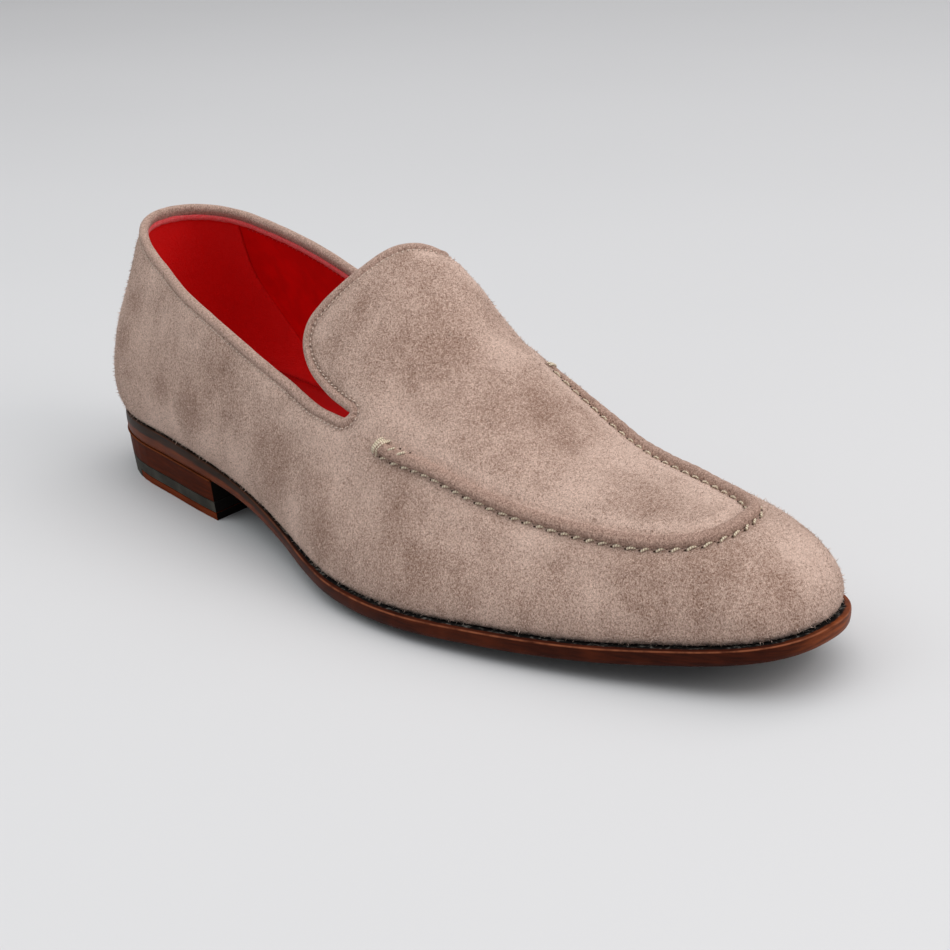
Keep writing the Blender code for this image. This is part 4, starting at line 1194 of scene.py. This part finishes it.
# Raw edge of the lining below the binding, and the stitches under it: start, length, place, bow, thread
LIP_MIDDLE, LIP_HALF, LIP_THICK, LIP_DEPTH, LIP_POINTS = -0.0015, 0.0012, 0.0007, 0.0024, 12
LIP_WAVES = ((0.06, 640, 0.0), (0.05, 1510, 2.0))
LINING_FIRST, LINING_LONG, LINING_ACROSS = 0.001, 0.0015, 0.0038
LINING_BOW, LINING_THREAD = 0.00012, 0.00020


def build_lining_edge(line):
    """Soft raw edge of the lining, standing out below the binding."""
    angle, wave = profile(LIP_POINTS), uneven(line.run[None], LIP_WAVES)
    b = LIP_MIDDLE + LIP_HALF * np.cos(angle) * wave
    d = LIP_THICK * np.sin(angle) * wave - LIP_DEPTH
    piece("lining_edge", tube(line, b, d), RED_EDGE)


def build_lining_stitches(line):
    """Red stitches on the inside below the topline, ahead of the counter."""
    bm = bmesh.new()
    for run in np.arange(LINING_FIRST, line.length, LINING_STITCH):
        if line.at(run)[0][0] < COUNTER_TOP:
            continue
        path = []
        for f in (-0.5, 0.0, 0.5):
            p, _, a, n = line.at(run + f * LINING_LONG)
            path.append(p - a * LINING_ACROSS - n * (LINING_DEPTH + LINING_BOW * (1 - (2 * f) ** 2)))
        strand(bm, path, -line.at(run)[3], LINING_THREAD, 6, 4)
    weld(bm)
    piece("lining_stitches", bm, RED_THREAD)


def feather(place):
    """Points of the feather line and the outward directions in plan."""
    t = wall(place + 2 * STEP_PLACE, 1.0) - wall(place - 2 * STEP_PLACE, 1.0)
    return wall(place, 1.0), unit(np.stack([t[:, 1], -t[:, 0], 0 * t[:, 0]], axis=-1))


def spine(place):
    """Place on the middle line that the rows of the sole run to."""
    along = column(place)[1]
    side = HEEL_SIDE + (along - 1) * (TOE_SIDE - HEEL_SIDE)
    x = np.clip(side, HEEL_SIDE, TOE_SIDE)
    return x, plan(x)[0]


def plate_point(place, fraction, edge):
    """Plan of a plate that fills the feather line widened by an edge."""
    p, n = feather(place)
    x, y = spine(place)
    rim = p + n * np.reshape(edge, (-1, 1))
    return x + (rim[:, 0] - x) * fraction, y + (rim[:, 1] - y) * fraction


def floor_of_last(x, fraction):
    """Bottom of the last, which hangs below its feather line in the middle."""
    return section("feather", x) - sole("cup", x) * (1 - fraction * fraction)


def true_fraction(place, x, y):
    """Share of the way from the middle line to the feather line, 1 beyond it."""
    p = feather(place)[0]
    sx, sy = spine(place)
    return np.minimum(1.0, np.hypot(x - sx, y - sy) / np.hypot(p[:, 0] - sx, p[:, 1] - sy))


# Sole: rounding and swell of its edge, lowest base. Steps round the heel, side and toe of each plate
SOLE_ARRIS, SIDE_SWELL, BASE_LOWEST = 0.0007, 0.00020, 0.00001
SOLE_STEPS, INSOLE_STEPS = (40, 90, 70), (24, 60, 40)
# Where the dark waist of the sole ends, and where the painted highlight on the toe's inner side begins:
# start, run
WAIST, TOE_HIGHLIGHT_AHEAD, TOE_HIGHLIGHT_INWARD = (0.095, 0.07), (0.262, 0.03), (-0.012, 0.026)
INSOLE, INSOLE_INSET, INSOLE_CUP, INSOLE_LIP = 0.0025, 0.0026, 0.0016, 0.0005
# Rows of the insole, over its top and back along its base: fraction out, turned-up rim, depth
INSOLE_ROWS = (
    (0.0, 0.0, 0.0), (0.5, 0.0, 0.0), (0.85, 0.0, 0.0), (0.94, 0.25, 0.0), (1.0, 0.8, 0.0),
    (1.0, 1.0, 0.4), (1.0, 0.3, 0.8), (0.97, 0.0, 1.0), (0.5, 0.0, 1.0), (0.0, 0.0, 1.0),
)


def sole_places(heel, side, toe):
    """Places all round the sole, closed, with steps for each stretch of one side."""
    one = np.concatenate([np.linspace(k, k + 1, n, endpoint=False) for k, n in enumerate((heel, side, toe))])
    places = np.concatenate([one, 6 - np.concatenate([[3.0], one[::-1]])])
    places[-1] = 6.0
    return places


def build_insole():
    """Red sock of the insole, its rim turned up against the lining."""
    places = sole_places(*INSOLE_STEPS)
    inset = np.full(len(places), -INSOLE_INSET)
    lines = []
    for fraction, cup, depth in INSOLE_ROWS:
        x, y = plate_point(places, fraction, inset + INSOLE_LIP * cup)
        low = floor_of_last(x, true_fraction(places, x, y)) + GAP / 2
        lines.append(np.stack([x, y, low + INSOLE * (1 - depth) + INSOLE_CUP * cup], axis=-1))
    bm = bmesh.new()
    new_grid(bm, np.array(lines))
    weld(bm)
    piece("red_insole", bm, RED_INSOLE_SHADED, ["insole"])


def grown(value, bounds):
    """Share from 0 to 1 past the start of a stretch."""
    return float(smooth((value - bounds[0]) / bounds[1]))


def build_outsole():
    """Leather sole with a rounded, slightly swelled edge. Its bands run from the seam over the edge."""
    places = sole_places(*SOLE_STEPS)
    edge = sole("edge", outline_x(places))
    lines, bands = [], []

    def add(x, y, z, band):
        lines.append(np.stack([x, y, z], axis=-1))
        bands.append(band)

    for f in (0.0, 0.4, 0.8, 1.0):
        x, y = plate_point(places, f, 0 * edge)
        add(x, y, floor_of_last(x, true_fraction(places, x, y)) - GAP, 0.0)
    arris = np.minimum(SOLE_ARRIS, edge * 0.6)

    def rim(inset, share, drop, band):
        """Point on the edge: drop below the top, plus a share of the thickness."""
        x, y = plate_point(places, 1.0, edge - inset)
        top = floor_of_last(x, 1.0) - GAP
        add(x, y, top - share * sole("thick", x) - drop, band)

    for f in (0.33, 0.66):
        rim((edge - arris) * (1 - f) + arris, 0.0, 0.0, f * 0.9)
    for angle in np.linspace(0, np.pi / 2, 5):
        rim(arris * (1 - np.sin(angle)), 0.0, arris * (1 - np.cos(angle)), 0.93 + 0.1 * angle)
    for f in (0.25, 0.4, 0.55, 0.7, 0.82):
        rim(-SIDE_SWELL * np.sin(np.pi * f) + SOLE_ARRIS * 0.5 * f, f, 0.0, 1.0 + 0.95 * f)
    for angle in np.linspace(0, np.pi / 2, 4):
        inset = SOLE_ARRIS * (0.5 + 1 - np.cos(angle))
        rim(inset, 1.0, -SOLE_ARRIS * (1 - np.sin(angle)), 1.9 + 0.08 * angle)
    for f in (0.92, 0.75, 0.5, 0.25, 0.0):
        x, y = plate_point(places, f, edge)
        z = floor_of_last(x, true_fraction(places, x, y)) - GAP - sole("thick", x)
        add(x, y, np.maximum(BASE_LOWEST, z), 3.0)
    bm = bmesh.new()
    layer = bm.verts.layers.float.new("band")
    waist = bm.verts.layers.float.new("waist")
    toe_highlight = bm.verts.layers.float.new("toe_highlight")
    for k, v in enumerate(new_grid(bm, np.array(lines))):
        v[layer] = bands[k // len(places)]
        v[waist] = 1 - grown(v.co.x, WAIST)
        v[toe_highlight] = grown(v.co.x, TOE_HIGHLIGHT_AHEAD) * grown(v.co.y, TOE_HIGHLIGHT_INWARD)
    weld(bm)
    piece("leather_outsole", bm, SOLE_LEATHER, ["outsole"])


# Line at the heel seat, lighter than the leather round it as a painted highlight: half width, height,
# distance in from the sole's edge, run-out, steps
SEAT_HALF, SEAT_HIGH, SEAT_IN, SEAT_END = 0.00036, 0.00020, 0.00025, 0.0006
SEAT_STEP, SEAT_SAMPLES, SEAT_POINTS = 0.0008, 240, 10


def build_heel_line():
    """Fine raised line round the heel where the stack meets the sole, its lighter colour a painted highlight
    on the arris there.
    """
    start = side_place(BREAST, -1)
    places = np.linspace(start, -start, SEAT_SAMPLES)
    x, y = plate_point(places, 1.0, sole("edge", outline_x(places)) - SEAT_IN)
    z = section("feather", x) - GAP * 1.5 - sole("thick", x)
    points = np.stack([x, y, z], axis=-1)
    line = Line(points, np.full_like(points, (0.0, 0.0, 1.0)), False, SEAT_STEP)
    ends = np.clip(np.minimum(line.run, line.length - line.run) / SEAT_END, 0, 1)[None]
    angle = profile(SEAT_POINTS)
    bm = tube(line, np.cos(angle) * SEAT_HALF * ends, np.sin(angle) * SEAT_HIGH * ends)
    piece("heel_seat_highlight_line", bm, SEAT_HIGHLIGHT)


ARRIS_ANGLE = math.radians(45)


def dress_node(name, material, rounding):
    """CAD node kept as it is, with a finish and slightly worn arrises."""
    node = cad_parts[name]
    node.data.materials.clear()
    node.data.materials.append(material)
    joined = node.modifiers.new("joined", "WELD")
    joined.merge_threshold = WELD
    wear_and_highlight = node.modifiers.new("worn_arris", "BEVEL")
    wear_and_highlight.width = rounding
    wear_and_highlight.segments = 2
    wear_and_highlight.limit_method = "ANGLE"
    wear_and_highlight.angle_limit = ARRIS_ANGLE


opening = opening_line(Skin(*LINE_SKIN), LINE_STEP)
ridge = ridge_line(LINE_STEP)
build_upper(opening, ridge)
build_lining()
build_counter()
build_binding(opening)
build_ridge(ridge)
build_apron_stitches(ridge)
build_needle_holes(ridge)
build_binding_stitches(opening)
build_lining_edge(opening)
build_lining_stitches(opening)
build_insole()
build_outsole()
build_heel_line()
dress_node("heel_stack", STACK_LEATHER, 0.00025)
dress_node("heel_top_piece", TOP_RUBBER, 0.0003)
dress_node("heel_insert", INSERT_LEATHER, 0.0002)

# Floor, soft studio light and the camera at the photograph's angle
FLOOR_HALF, LIGHT_AIM = 6.0, Vector((0.0, 0.0, 0.04))
WORLD_COLOUR, WORLD_STRENGTH = (0.82, 0.82, 0.83, 1.0), 0.50
bm = bmesh.new()
bmesh.ops.create_grid(bm, x_segments=8, y_segments=8, size=FLOOR_HALF)
data = bpy.data.meshes.new("floor")
bm.to_mesh(data)
bm.free()
data.materials.append(plain_floor())
floor = bpy.data.objects.new("floor", data)
bpy.context.scene.collection.objects.link(floor)

AZIMUTH, ELEVATION, ROLL = math.radians(47.69), math.radians(21.55), math.radians(-2.41)
TARGET, DISTANCE = Vector((0.15704, 0.01476, 0.02171)) + TO_FRAME, 0.57483
LENS, SENSOR = 67.44, 36.0
back = Vector((
    math.sin(AZIMUTH) * math.cos(ELEVATION),
    -math.cos(AZIMUTH) * math.cos(ELEVATION),
    math.sin(ELEVATION),
))
right = Vector((math.cos(AZIMUTH), math.sin(AZIMUTH), 0.0))
up = back.cross(right)
camera_data = bpy.data.cameras.new("camera")
camera_data.lens = LENS
camera_data.sensor_width = SENSOR
camera = bpy.data.objects.new("camera", camera_data)
turned_right = right * math.cos(ROLL) + up * math.sin(ROLL)
turned_up = up * math.cos(ROLL) - right * math.sin(ROLL)
facing = Matrix((turned_right, turned_up, back)).transposed().to_4x4()
camera.matrix_world = Matrix.Translation(TARGET + back * DISTANCE) @ facing
bpy.context.scene.collection.objects.link(camera)
bpy.context.scene.camera = camera


def soft_light(name, place, size, power, colour=(1.0, 1.0, 1.0)):
    """Large soft light turned towards the shoe."""
    lamp = bpy.data.lights.new(name, "AREA")
    lamp.shape = "RECTANGLE"
    lamp.size, lamp.size_y = size
    lamp.energy = power
    lamp.color = colour
    item = bpy.data.objects.new(name, lamp)
    item.location = place
    item.rotation_euler = (LIGHT_AIM - Vector(place)).to_track_quat("-Z", "Y").to_euler()
    bpy.context.scene.collection.objects.link(item)


soft_light("overhead", (0.2, 0.35, 2.2), (3.2, 3.2), 46.0)
soft_light("key", (-0.45, -0.75, 1.05), (0.9, 0.7), 3.2, (0.900, 0.975, 0.985))
soft_light("toe_side", (1.05, 0.30, 0.80), (0.8, 0.8), 5.3, (1.0, 0.955, 0.925))
world = bpy.data.worlds.new("studio")
world.use_nodes = True
background = world.node_tree.nodes["Background"]
background.inputs["Color"].default_value = WORLD_COLOUR
background.inputs["Strength"].default_value = WORLD_STRENGTH
bpy.context.scene.world = world
bpy.context.scene.view_settings.view_transform = "Standard"
